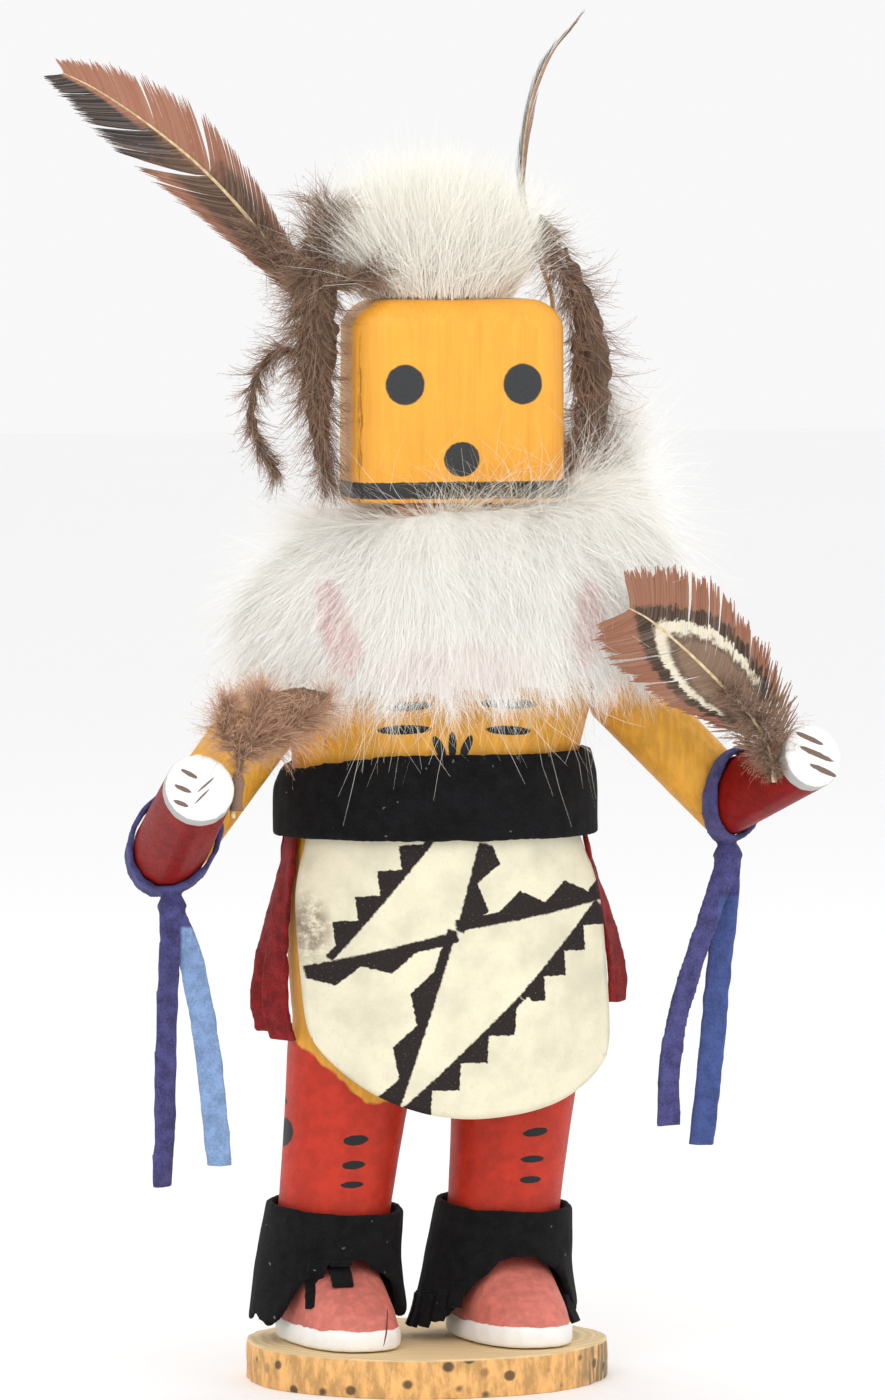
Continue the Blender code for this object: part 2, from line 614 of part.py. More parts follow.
def make_sash(name, material, side, length, middle_y, spread, forward):
    """A suede strip that hangs at the hip from under the belt; side is -1 on the doll's right."""
    steps = 9
    path = []
    wides = []
    for i in range(steps):
        down = i / (steps - 1)
        z = BELT_BOTTOM + APRON_TUCK * 0.8 - (length + APRON_TUCK * 0.8) * down
        middle, wide, deep = torso_section(z)
        hang = smooth_step(BELT_BOTTOM + LEATHER, BELT_BOTTOM - length, z)
        y = middle_y - forward * hang
        around = math.asin(max(-1.0, min(1.0, y / (deep + GAP + LEATHER / 2))))
        out = GAP + LEATHER / 2 + STRIP_SAG
        x = middle + side * ((wide + out) * math.cos(around) + spread * hang)
        path.append(Vector((x, y, z)))
        snug_turn = -math.atan2(wide * math.sin(around), deep * math.cos(around))
        turn = snug_turn * (1 - hang) + SASH_TWIST * hang
        wides.append(Vector((side * math.sin(turn), math.cos(turn), 0.0)))
    place(name, strip_bm(path, wides, SASH_WIDTH, LEATHER, 1.12), material, sharp=30.0)


def make_tie(name, material, arm, tails):
    """One suede strip: a turn round the elbow, a flat knot under it and two hanging ends."""
    across, up = perpendicular(arm.fore_way)
    inner = arm.radius + GAP
    sections = []
    for i in range(TIE_SIDES):
        angle = math.tau * i / TIE_SIDES
        out = across * math.cos(angle) + up * math.sin(angle)
        start = arm.mitre_reach(out) + TIE_OFF_MITRE
        section = []
        for along, lift in ((0, 0), (TIE_WIDTH, 0), (TIE_WIDTH, TIE_THICKNESS), (0, TIE_THICKNESS)):
            section.append(arm.elbow + arm.fore_way * (start + along) + out * (inner + lift))
        sections.append(section)
    tie = place(name, skin(sections, closed=True), material, sharp=30.0)
    low = arm.elbow + arm.fore_way * (arm.mitre_reach(-up) + TIE_OFF_MITRE + TIE_WIDTH / 2)
    knot = low - up * (inner + TIE_THICKNESS * 0.5)
    rings = []
    for share in (0.02, 0.25, 0.5, 0.75, 0.98):
        lean = math.pi * share
        centre = knot - Vector((0, 0, TIE_KNOT.z * (1 - math.cos(lean))))
        rings.append(oval(centre, TIE_KNOT.x * math.sin(lean), TIE_KNOT.y * math.sin(lean), 10))
    combine(tie, skin(rings), "UNION")
    for offsets, twist in tails:
        start = knot - Vector((0, 0, TIE_TAIL_DROP))
        path = smooth_path([start, *from_anchor(start, TIE_TAIL_LENGTH, offsets)], 8)
        wides = []
        for i in range(len(path)):
            turn = math.radians(blend(twist, i / (len(path) - 1)))
            wides.append(Vector((math.cos(turn), math.sin(turn), 0.0)))
        combine(tie, strip_bm(path, wides, TIE_WIDTH, TIE_THICKNESS), "UNION")


def ground_near(tree, centre, angle, radius, step):
    """The foot's greatest height under a stretch of a cuff's lower edge, or 0 beside the foot."""
    highest = 0.0
    for turn in (-0.6, 0.0, 0.6):
        way = Vector((math.sin(angle + step * turn), -math.cos(angle + step * turn), 0.0))
        for reach in (radius - 2 * GAP, radius, radius + CUFF_THICKNESS / 2):
            start = centre + way * reach
            hit = tree.ray_cast(Vector((start.x, start.y, FOOT_TOP + LEG_LENGTH)), Vector((0, 0, -1)))[0]
            highest = max(highest, hit.z if hit else 0.0)
    return highest


def make_cuff(name, material, ankle, hip, foot, flare, flare_way, opening):
    """A suede cuff round the ankle, open over the instep, with a cut fringe at its lower edge."""
    tree = BVHTree.FromBMesh(foot)
    count = CUFF_SIDES
    low = SOLE_BOTTOM + CUFF_ABOVE_SOLE
    top = low + CUFF_HEIGHT
    sections = []
    for i in range(count):
        angle = math.tau * i / count
        out = Vector((math.sin(angle), -math.cos(angle), 0.0))
        off_front = abs((angle - opening + math.pi) % math.tau - math.pi)
        lift = CUFF_FRONT_LIFT * (1 - smooth_step(math.radians(12), math.radians(62), off_front))
        fringe = CUFF_FRINGE * (0.5 + 0.5 * math.cos(count / 4 * angle)) * (off_front > math.radians(30))
        edge = low + lift + fringe
        swing = flare * max(0.0, math.cos(angle - flare_way)) ** 2
        spots = []
        for share in (0.0, 0.5, 1.0):
            z = top + CUFF_TILT * math.cos(angle + 2.4) * (1 - share) - (top - edge) * share
            sink = (top - z) / CUFF_HEIGHT
            leg_share = max(0.0, (z - LEG_BOTTOM) / LEG_LENGTH)
            centre = ankle.lerp(hip, leg_share)
            radius = ANKLE_RADIUS + GAP + CUFF_LOOSE + (CUFF_HEEL_ROOM + swing) * smooth_step(0.1, 1.0, sink)
            spots.append((Vector((centre.x, centre.y, z)), radius))
        centre, radius = spots[-1]
        inner_edge = centre + out * radius
        ground = ground_near(tree, centre, angle, radius, math.tau / count)
        if inner_edge.z < ground + GAP:
            rise = ground + GAP - inner_edge.z
            spots = [(spot + Vector((0, 0, rise * k / 2)), wide) for k, (spot, wide) in enumerate(spots)]
        inner = [spot + out * wide for spot, wide in spots]
        outer = [spot + out * (wide + CUFF_THICKNESS) for spot, wide in reversed(spots)]
        sections.append(inner + outer)
    foot.free()
    place(name, skin(sections, closed=True), material)


def lock_wave(angle, count, phase=0.0):
    """Rounded ridges with sharp valleys between them, from 0 to 1."""
    return abs(math.sin(0.5 * count * angle + phase))


def make_crest(material):
    """Tuft of fur on the head: locks that rise from a gathered root and part at their tips."""
    lengths = random.Random(4)
    tips = [lengths.uniform(0.35, 1.0) for _ in range(CREST_LOCKS)]
    count = CREST_LOCKS * 2
    rings = []
    for share, scale, tip in ((0.0, 0.84, 0), (0.2, 0.93, 0), (0.45, 1.0, 0), (0.72, 1.02, 0.2),
                              (0.90, 0.96, 1.0), (0.88, 0.74, 0.3), (0.96, 0.52, 0.9), (0.93, 0.25, 0.2)):
        ring = []
        for i in range(count):
            angle = math.tau * i / count
            ridge = lock_wave(angle, CREST_LOCKS, 0.6 * share)
            length = tips[int(CREST_LOCKS * i / count)]
            reach = LOCK_DEPTH * (ridge - 0.7) * min(1.0, 4 * share)
            z = HEAD_TOP + GAP + CREST_HEIGHT * share + LOCK_TIP * tip * (ridge * length - 0.5)
            ring.append(Vector((HEAD_SHIFT + CREST_SHIFT + (CREST_HALF_WIDTH * scale + reach) * math.cos(angle),
                                (CREST_HALF_DEPTH * scale + reach) * math.sin(angle), z)))
        rings.append(ring)
    place("fur_crest", skin(rings), material, sharp=60.0)


def make_ruff(material, arms, plumes):
    """Fur ruff: a thick ring of locks over the shoulders, cut to fit what it wraps."""
    lengths = random.Random(9)
    tips = [lengths.uniform(0.3, 1.0) for _ in range(RUFF_LOCKS)]
    count = RUFF_LOCKS * 2
    shape = (
        # share of reach, share of height, share of lock depth, share of tip length
        (0.25, 0.38, 0, 0), (0.72, 0.13, 0, 0), (0.90, 0.0, 0.6, 1), (1.0, 0.15, 1, 0.4),
        (1.0, 0.40, 1, 0), (0.93, 0.68, 0.8, 0),
    )
    rings = [[] for _ in range(len(shape) + 3)]
    middle = HEAD_SHIFT * 0.7
    for i in range(count):
        angle = math.tau * i / count
        reach = round_compass(angle, RUFF_REACH)
        low = NECK_TOP - round_compass(angle, RUFF_BELOW_NECK)
        rise = RUFF_RISE * math.exp(-((angle - RUFF_RISE_WAY) / RUFF_RISE_SPREAD) ** 2)
        high = NECK_TOP + round_compass(angle, RUFF_ABOVE_NECK) + rise
        top_reach = round_compass(angle, RUFF_TOP_REACH)
        ridge = lock_wave(angle, RUFF_LOCKS)
        length = tips[int(RUFF_LOCKS * i / count)]
        way = Vector((math.sin(angle), -math.cos(angle), 0.0))
        root = Vector((middle, 0.0, 0.0))
        for ring, (out, up, lock, tip) in zip(rings, shape):
            radius = reach * out + LOCK_DEPTH * lock * (ridge - 0.6)
            z = low + (high - low) * up - LOCK_TIP * tip * (ridge * length - 0.5)
            ring.append(root + way * radius + Vector((0, 0, z)))
        crown = high + LOCK_TIP * 0.4 * (ridge * length - 0.5)
        rings[-3].append(root + way * (top_reach + LOCK_DEPTH * 0.5 * (ridge - 0.6)) + Vector((0, 0, crown)))
        rings[-2].append(root + way * top_reach * 0.5 + Vector((0, 0, high - 0.5 * MM)))
        rings[-1].append(root + way * RUFF_COLLAR + Vector((0, 0, NECK_TOP + RUFF_COLLAR)))
    ruff = place("fur_ruff", skin(rings), material, sharp=60.0)
    combine(ruff, torso_bm(GAP), "DIFFERENCE")
    combine(ruff, head_bm(GAP), "DIFFERENCE")
    for arm in arms:
        combine(ruff, arm.upper_bm(GAP), "DIFFERENCE")
    for plume in plumes:
        combine(ruff, plume, "DIFFERENCE")


def feather_bm(points, width, halves, facing, count=15):
    """A feather: a quill with a thin cambered vane; halves are shares of its width from quill to tip."""
    path = smooth_path(points, count)
    rings = []
    for i, point in enumerate(path):
        share = i / (count - 1)
        along = (path[min(i + 1, count - 1)] - path[max(i - 1, 0)]).normalized()
        side = along.cross(facing).normalized()
        face = side.cross(along).normalized()
        half = max(QUILL_RADIUS, blend(halves, share) * width)
        notch = 1 - VANE_SPLIT * (i % 3 == 2) * (0.3 < share < 0.95)
        quill = QUILL_RADIUS * (1 - 0.6 * share)
        edge = FEATHER_THICKNESS / 2 if half > QUILL_RADIUS * 1.01 else QUILL_RADIUS * 0.5
        drop = FEATHER_CAMBER * min(1.0, 2 * half / FEATHER_FULL_CAMBER_WIDTH)
        flat = min(half * 0.45, quill * 2.2)
        outline = (
            (-half * notch, edge - drop), (-flat, edge), (0.0, max(quill, edge * 1.2)), (flat, edge),
            (half, edge - drop), (half, -edge - drop), (0.0, -max(quill * 0.8, edge)), (-half * notch, -edge - drop),
        )
        rings.append([point + side * x + face * y for x, y in outline])
    return skin(rings)


def plume_bm(points, width, halves, depths, facing, count=12, grow=0.0, ragged=0.16):
    """A down plume: an oval rope of barbs that swells and thins, ragged all round."""
    path = smooth_path(points, count)
    path[0] += (path[0] - path[1]).normalized() * grow
    path[-1] += (path[-1] - path[-2]).normalized() * grow
    sides = 10
    rings = []
    for i, point in enumerate(path):
        share = i / (count - 1)
        along = (path[min(i + 1, count - 1)] - path[max(i - 1, 0)]).normalized()
        side = along.cross(facing).normalized()
        face = side.cross(along).normalized()
        ring = []
        for k in range(sides):
            angle = math.tau * k / sides
            rough = 1 - ragged * (0.5 + 0.5 * math.sin(3.1 * k + 2.3 * i))
            wide = (blend(halves, share) * width * rough + grow) * math.cos(angle)
            deep = (blend(depths, share) * width * rough + grow) * math.sin(angle)
            ring.append(point + side * wide + face * deep)
        rings.append(ring)
    return skin(rings)


def build():
    clear_scene()
    front = Vector((0, -1, 0))
    yellow = paint("ochre_yellow_paint", (0.70, 0.36, 0.045), 0.5)
    face_yellow = paint("bright_yellow_paint", (0.93, 0.52, 0.08), 0.45)
    red = paint("orange_red_paint", (0.62, 0.05, 0.025), 0.45)
    moccasin = paint("dusty_red_paint", (0.55, 0.13, 0.11), 0.7)
    wood = paint("bare_branch_wood", (0.62, 0.42, 0.22), 0.75)
    fur = paint("cream_fur", (0.80, 0.76, 0.66), 0.9)
    black = paint("black_suede", (0.012, 0.012, 0.014), 0.95)
    cream = paint("cream_leather", (0.78, 0.72, 0.52), 0.8)
    crimson = paint("crimson_suede", (0.42, 0.02, 0.025), 0.9)
    violet = paint("violet_blue_suede", (0.05, 0.045, 0.17), 0.9)
    rust = paint("rust_feather", (0.32, 0.11, 0.05), 0.6)
    down = paint("brown_down", (0.17, 0.10, 0.065), 0.9)

    make_base(wood)
    make_body(yellow)
    place("head", head_bm(), face_yellow)
    place("foot_right", foot_bm(ANKLE_RIGHT), moccasin)
    place("foot_left", foot_bm(ANKLE_LEFT), moccasin)

    right = Arm("right", SHOULDER_RIGHT, UPPER_ARM_DROP_RIGHT, UPPER_ARM_FORWARD_RIGHT, ARM_OFF_BELT_RIGHT,
                FOREARM_RIGHT, ARM_RADIUS_RIGHT, WRIST_RADIUS_RIGHT)
    left = Arm("left", SHOULDER_LEFT, UPPER_ARM_DROP_LEFT, UPPER_ARM_FORWARD_LEFT, ARM_OFF_BELT_LEFT,
               FOREARM_LEFT, ARM_RADIUS_LEFT, WRIST_RADIUS_LEFT)
    for arm in (right, left):
        upper = place(f"upper_arm_{arm.side}", arm.upper_bm(), yellow)
        combine(upper, torso_bm(GAP), "DIFFERENCE")
        place(f"forearm_{arm.side}", arm.fore_bm(), red)

    make_belt(black)
    make_apron(cream)
    make_sash("sash_right_front", crimson, -1, SASH_RIGHT_LENGTH, *SASH_RIGHT_FRONT)
    make_sash("sash_right_back", crimson, -1, SASH_RIGHT_LENGTH * 0.97, *SASH_RIGHT_BACK)
    make_sash("sash_left", crimson, 1, SASH_LEFT_LENGTH, *SASH_LEFT)

    make_tie("arm_tie_right", violet, right, TIE_RIGHT_TAILS)
    make_tie("arm_tie_left", violet, left, TIE_LEFT_TAILS)

    make_cuff("anklet_right", black, ANKLE_RIGHT, HIP_RIGHT, foot_bm(ANKLE_RIGHT), CUFF_FLARE_RIGHT,
              math.radians(-90), math.radians(6))
    make_cuff("anklet_left", black, ANKLE_LEFT, HIP_LEFT, foot_bm(ANKLE_LEFT), CUFF_FLARE_LEFT,
              math.radians(-80), math.radians(8))

    make_crest(fur)

    right_side = Vector((HEAD_SHIFT - HEAD_HALF_WIDTH - GAP, 0.0, HEAD_TOP))
    left_side = Vector((HEAD_SHIFT + HEAD_HALF_WIDTH + GAP, 0.0, HEAD_TOP))
    down_right = (from_anchor(right_side, DOWN_RIGHT_LENGTH, DOWN_RIGHT_PATH),
                  DOWN_RIGHT_WIDTH, DOWN_RIGHT_HALVES, DOWN_RIGHT_DEPTHS)
    curl = from_anchor(right_side, DOWN_CURL_LENGTH, DOWN_CURL_PATH)
    down_left = (from_anchor(left_side, DOWN_LEFT_LENGTH, DOWN_LEFT_PATH),
                 DOWN_LEFT_WIDTH, DOWN_LEFT_HALVES, DOWN_LEFT_DEPTHS)
    plume = place("down_plume_right", plume_bm(*down_right, front), down)
    combine(plume, plume_bm(curl, DOWN_CURL_WIDTH, DOWN_CURL_HALVES, DOWN_CURL_DEPTHS, front), "UNION")
    place("down_plume_left", plume_bm(*down_left, front), down)
    make_ruff(fur, (right, left), [plume_bm(*row, front, grow=GAP, ragged=0.0) for row in (down_right, down_left)])

    place("feather_head_right", feather_bm(from_anchor(right_side, LONG_FEATHER_LENGTH, LONG_FEATHER_PATH),
                                           LONG_FEATHER_WIDTH, LONG_FEATHER_HALVES, front), rust)
    place("feather_head_left", feather_bm(from_anchor(left_side, EDGE_FEATHER_LENGTH, EDGE_FEATHER_PATH),
                                          EDGE_FEATHER_WIDTH, EDGE_FEATHER_HALVES, Vector((-1, 0, 0))), rust)

    quill_out = QUILL_RADIUS + GAP
    hand_right = right.wrist + Vector((WRIST_RADIUS_RIGHT + quill_out, 0.0, 0.0)) - right.fore_way * HAND_FEATHER_BACK
    place("feather_hand_right", plume_bm(from_anchor(hand_right, HAND_FLUFF_LENGTH, HAND_FLUFF_PATH),
                                         HAND_FLUFF_WIDTH, HAND_FLUFF_HALVES, HAND_FLUFF_DEPTHS, front, 15), down)
    beside = left.fore_way.cross(Vector((0, 0, 1))).normalized()
    hand_left = left.wrist - left.fore_way * HAND_FEATHER_BACK + beside * (WRIST_RADIUS_LEFT + quill_out)
    place("feather_hand_left", feather_bm(from_anchor(hand_left, WINDOW_FEATHER_LENGTH, WINDOW_FEATHER_PATH),
                                          WINDOW_FEATHER_WIDTH, WINDOW_FEATHER_HALVES, front), rust)


build()
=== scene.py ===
"""Carved and painted kachina doll on a slice of branch, with its fur, feathers, suede and leather."""

import math

import bmesh
import bpy
import numpy as np
from bpy.props import FloatProperty, FloatVectorProperty, IntProperty, PointerProperty
from mathutils import Matrix, Vector, noise
from mathutils.bvhtree import BVHTree


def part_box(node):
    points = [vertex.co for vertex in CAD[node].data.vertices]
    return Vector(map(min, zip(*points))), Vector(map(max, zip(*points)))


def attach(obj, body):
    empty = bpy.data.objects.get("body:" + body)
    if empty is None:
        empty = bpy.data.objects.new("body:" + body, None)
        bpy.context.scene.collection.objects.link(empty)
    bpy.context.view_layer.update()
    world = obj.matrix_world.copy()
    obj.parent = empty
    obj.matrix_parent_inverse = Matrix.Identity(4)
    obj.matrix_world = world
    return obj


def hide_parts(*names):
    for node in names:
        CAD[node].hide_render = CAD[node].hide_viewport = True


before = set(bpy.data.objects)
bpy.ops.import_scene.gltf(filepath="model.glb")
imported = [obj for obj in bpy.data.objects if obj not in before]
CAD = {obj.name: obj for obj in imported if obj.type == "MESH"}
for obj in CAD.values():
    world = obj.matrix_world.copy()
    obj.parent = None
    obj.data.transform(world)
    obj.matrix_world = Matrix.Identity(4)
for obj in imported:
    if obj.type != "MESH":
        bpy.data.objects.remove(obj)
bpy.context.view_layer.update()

bl_info = {
    "name": "Kachina Doll Pieces",
    "version": (1, 0, 0),
    "blender": (4, 5, 0),
    "location": "View3D > Sidebar > Doll",
    "description": "Builds the pieces and finishes of a carved doll round its CAD frame",
    "category": "Add Mesh",
}

MM = 0.001
UP = Vector((0.0, 0.0, 1.0))
FRONT = Vector((0.0, -1.0, 0.0))
HEAD_LOW, HEAD_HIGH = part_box("head")
BELT_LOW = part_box("belt")[0]
# Upper ends of the head's side faces, which the feathers and the down are measured from
HEAD_SIDE_RIGHT = Vector((HEAD_LOW.x - 0.3 * MM, 0.0, HEAD_HIGH.z))
HEAD_SIDE_LEFT = Vector((HEAD_HIGH.x + 0.3 * MM, 0.0, HEAD_HIGH.z))
DAB_DEPTH = 14.0  # mm that a painted dab reaches into the wood, so that a round side takes all of it
SIDES = ("right", "left")


def mm(*values):
    """A place or a size given in millimetres."""
    return Vector(values) * MM


def route(start, rows):
    """Points given in millimetres from a start."""
    return [start + mm(*row) for row in rows]


def pick_colour(name, text, default):
    return FloatVectorProperty(name=name, description=text, default=default, size=3, min=0.0, max=1.0,
                               subtype="COLOR")


def length(name, text, default):
    return FloatProperty(name=name, description=text, default=default, min=0.0, unit="LENGTH")


# Node wiring


class Wiring:
    """Adds nodes to a material or a group and wires sockets or plain values into them."""

    def __init__(self, tree):
        self.tree = tree

    def plug(self, socket, value):
        if isinstance(value, bpy.types.NodeSocket):
            self.tree.links.new(value, socket)
        elif value is not None:
            socket.default_value = value

    def add(self, kind, *values, **settings):
        node = self.tree.nodes.new(kind)
        for name, value in settings.items():
            setattr(node, name, value)
        for socket, value in zip(node.inputs, values):
            self.plug(socket, value)
        return node

    def named(self, kind, values, **settings):
        node = self.add(kind, **settings)
        for label, value in values.items():
            self.plug(node.inputs[label], value)
        return node

    def feed(self, node, **values):
        """Wires values into a node's inputs, whose labels have _ for each blank."""
        for label, value in values.items():
            self.plug(node.inputs[label.replace("_", " ")], value)

    def math(self, operation, *values):
        return self.add("ShaderNodeMath", *values, operation=operation).outputs[0]

    def plus(self, first, second):
        return self.math("ADD", first, second)

    def minus(self, first, second):
        return self.math("SUBTRACT", first, second)

    def product(self, first, second):
        return self.math("MULTIPLY", first, second)

    def mixture(self, first, share, second, other):
        return self.math("MULTIPLY_ADD", first, share, self.product(second, other))

    def vector_math(self, operation, *values):
        return self.add("ShaderNodeVectorMath", *values, operation=operation).outputs

    def times(self, vector, factor):
        return self.vector_math("MULTIPLY", vector, factor)["Vector"]

    def less(self, vector, other):
        return self.vector_math("SUBTRACT", vector, other)["Vector"]

    def length(self, vector):
        return self.vector_math("LENGTH", vector)["Value"]

    def turned(self, vector, angle, axis):
        return self.named("ShaderNodeVectorRotate", {"Vector": vector, "Angle": angle},
                          rotation_type=axis).outputs[0]

    def ease(self, value, low, high, start=0.0, end=1.0):
        return self.add("ShaderNodeMapRange", value, low, high, start, end,
                        interpolation_type="SMOOTHSTEP").outputs[0]

    def fade(self, value, low, high):
        """Falls from one to nothing between two levels."""
        return self.ease(value, low, high, 1.0, 0.0)

    def blend(self, factor, first, second):
        node = self.add("ShaderNodeMix", data_type="RGBA")
        self.plug(node.inputs[0], factor)
        self.plug(node.inputs[6], first)
        self.plug(node.inputs[7], second)
        return node.outputs[2]

    def shades(self, factor, colour, first, second):
        """One colour, from a first share of its strength to a second."""
        return self.blend(factor, rgba(colour, first), rgba(colour, second))

    def tinge(self, base, mask, share, colour):
        """A base that takes on a share of a colour where the mask says."""
        return self.blend(self.product(mask, share), base, rgba(colour))

    def noise(self, vector, scale, detail=2.0, roughness=0.5):
        return self.named("ShaderNodeTexNoise", {"Vector": vector, "Scale": scale, "Detail": detail,
                                                 "Roughness": roughness}).outputs[0]

    def streaks(self, vector, stretch, detail=3.0, roughness=0.5):
        """Noise drawn out along the axes by a stretch."""
        return self.noise(self.times(vector, stretch), 1.0, detail, roughness)

    def waver(self, amount, vector, scale, detail=2.0, roughness=0.5):
        """Noise that sways by up to half of the amount to either side."""
        return self.product(self.minus(self.noise(vector, scale, detail, roughness), 0.5), amount)

    def cells(self, vector, scale, **settings):
        return self.named("ShaderNodeTexVoronoi", {"Vector": vector, "Scale": scale}, **settings).outputs

    def split(self, vector):
        return self.add("ShaderNodeSeparateXYZ", vector).outputs

    def attribute(self, name):
        return self.add("ShaderNodeAttribute", attribute_name=name).outputs["Fac"]

    def group(self, tree, **values):
        node = self.add("ShaderNodeGroup", node_tree=tree)
        self.feed(node, **values)
        return node.outputs

    def most(self, masks):
        result = masks[0]
        for mask in masks[1:]:
            result = self.math("MAXIMUM", result, mask)
        return result

    def bump(self, height, strength, depth, normal=None):
        return self.named("ShaderNodeBump", {"Height": height, "Strength": strength, "Distance": depth,
                                             "Normal": normal}).outputs[0]


def rgba(colour, share=1.0):
    return (*[min(1.0, channel * share) for channel in colour[:3]], 1.0)


def shared_group(name, inputs, outputs, fill):
    """A shader group built once, from its inputs' defaults by label and its outputs' labels."""
    if name in bpy.data.node_groups:
        return bpy.data.node_groups[name]
    tree = bpy.data.node_groups.new(name, "ShaderNodeTree")
    for label, default in inputs.items():
        kind = "Float" if isinstance(default, float) else {3: "Vector", 4: "Color"}[len(default)]
        socket = tree.interface.new_socket(name=label, in_out="INPUT", socket_type=f"NodeSocket{kind}")
        socket.default_value = default
    for label in outputs:
        kind = "Color" if label == "Colour" else "Float"
        tree.interface.new_socket(name=label, in_out="OUTPUT", socket_type=f"NodeSocket{kind}")
    w = Wiring(tree)
    entry = w.add("NodeGroupInput").outputs
    leave = w.add("NodeGroupOutput")
    w.feed(leave, **fill(w, entry))
    return tree


def brush_strokes():
    """Paint brushed along the grain: tone, relief and specks."""
    def fill(w, entry):
        strokes = w.streaks(entry["Vector"], entry["Stretch"], 4.0, 0.6)
        blotches = w.noise(entry["Vector"], 130.0, 3.0, 0.6)
        specks = w.noise(entry["Vector"], 2600.0, 2.0, 0.5)
        return {"Tone": w.mixture(strokes, 0.6, blotches, 0.4),
                "Relief": w.mixture(strokes, 0.65, specks, 0.35), "Specks": specks}
    return shared_group("brush_strokes", {"Vector": (0, 0, 0), "Stretch": (900, 900, 70)},
                        ("Tone", "Relief", "Specks"), fill)


def painted_spot():
    """An oval dab of paint with a slightly ragged rim."""
    def fill(w, entry):
        ragged = w.waver(entry["Ragged"], entry["Vector"], 900.0, 3.0, 0.6)
        turned = w.turned(w.less(entry["Vector"], entry["Centre"]), entry["Turn"], "Y_AXIS")
        reach = w.length(w.vector_math("DIVIDE", turned, entry["Size"])["Vector"])
        return {"Mask": w.fade(w.plus(reach, ragged), 0.94, 1.04)}
    return shared_group("painted_spot", {"Vector": (0, 0, 0), "Centre": (0, 0, 0),
                                         "Size": (0.002, 0.01, 0.002), "Turn": 0.0, "Ragged": 0.15},
                        ["Mask"], fill)


def ragged_edge():
    """A painted edge square to a direction, wavering by a little."""
    def fill(w, entry):
        waver = w.waver(entry["Waver"], entry["Vector"], entry["Scale"], 4.0, 0.6)
        along = w.vector_math("DOT_PRODUCT", entry["Vector"], entry["Direction"])["Value"]
        past = w.minus(w.plus(along, waver), entry["Level"])
        return {"Mask": w.ease(past, w.product(entry["Soft"], -1.0), entry["Soft"])}
    return shared_group("ragged_edge", {"Vector": (0, 0, 0), "Direction": (0, 0, 1), "Level": 0.0,
                                        "Waver": 0.001, "Scale": 400.0, "Soft": 0.0001}, ["Mask"], fill)


def suede_nap():
    """Napped suede: tone of the brushed fibres, specks of lint, and relief."""
    def fill(w, entry):
        fibres = w.noise(entry["Vector"], 2300.0, 4.0, 0.75)
        brushed = w.noise(entry["Vector"], 330.0, 3.0, 0.6)
        sway = w.named("ShaderNodeTexNoise", {"Vector": entry["Vector"], "Scale": 700.0}).outputs[1]
        bent = w.vector_math("ADD", entry["Vector"], w.times(sway, (0.0016, 0.0016, 0.0016)))["Vector"]
        cells = w.cells(bent, 330.0)
        chosen = w.ease(w.split(cells["Color"])[0], 0.62, 0.66)
        lint = w.product(w.fade(cells["Distance"], 0.06, 0.11), chosen)
        return {"Tone": w.mixture(fibres, 0.55, brushed, 0.45), "Lint": lint, "Relief": fibres}
    return shared_group("suede_nap", {"Vector": (0, 0, 0)}, ("Tone", "Lint", "Relief"), fill)


def hair_tone():
    """Colour of one hair from its root to its tip, a little different for each hair."""
    def fill(w, entry):
        grown = w.ease(w.attribute("along"), entry["Start"], entry["End"])
        colour = w.blend(grown, entry["Root"], entry["Tip"])
        own = w.product(w.attribute("tint"), entry["Variation"])
        return {"Colour": w.blend(own, colour, entry["Other"]), "Grown": grown}
    return shared_group("hair_tone", {"Root": (0.5, 0.5, 0.5, 1), "Tip": (0.9, 0.9, 0.9, 1),
                                      "Other": (1, 1, 1, 1), "Variation": 0.5, "Start": 0.0, "End": 0.7},
                        ("Colour", "Grown"), fill)


def stepped_line():
    """A painted line on a flat pattern: one straight edge, and a row of teeth along the other."""
    def fill(w, entry):
        sway = w.named("ShaderNodeTexNoise", {"Vector": entry["Vector"], "Scale": 1.3,
                                              "Detail": 5.0}).outputs[1]
        rough = w.times(w.less(sway, (0.5, 0.5, 0.5)), (0.9, 0.9, 0.0))
        centred = w.less(w.vector_math("ADD", entry["Vector"], rough)["Vector"], entry["Start"])
        x, y, _ = w.split(w.turned(centred, w.product(entry["Turn"], -1.0), "Z_AXIS"))
        side = w.product(y, entry["Side"])
        inside = w.product(w.ease(x, -0.3, 0.3), w.ease(w.minus(entry["Length"], x), -0.3, 0.3))
        phase = w.math("FRACT", w.math("DIVIDE", w.minus(x, entry["From"]), entry["Pitch"]))
        slope = w.math("ABSOLUTE", w.math("MULTIPLY_ADD", phase, 2.0, -1.0))
        peak = w.product(w.minus(1.0, slope), entry["Tooth"])
        within = w.product(w.ease(w.minus(x, entry["From"]), -0.05, 0.05),
                           w.ease(w.minus(entry["To"], x), -0.05, 0.05))
        reach = w.math("MULTIPLY_ADD", peak, within, entry["Band"])
        below = w.ease(w.minus(reach, side), -0.15, 0.2)
        return {"Mask": w.product(w.product(below, w.ease(side, -0.3, 0.15)), inside)}
    return shared_group("stepped_line", {
        "Vector": (0, 0, 0), "Start": (0, 0, 0), "Turn": 0.0, "Length": 10.0, "Band": 2.0, "Side": 1.0,
        "Tooth": 2.0, "Pitch": 4.0, "From": 0.0, "To": 10.0}, ["Mask"], fill)


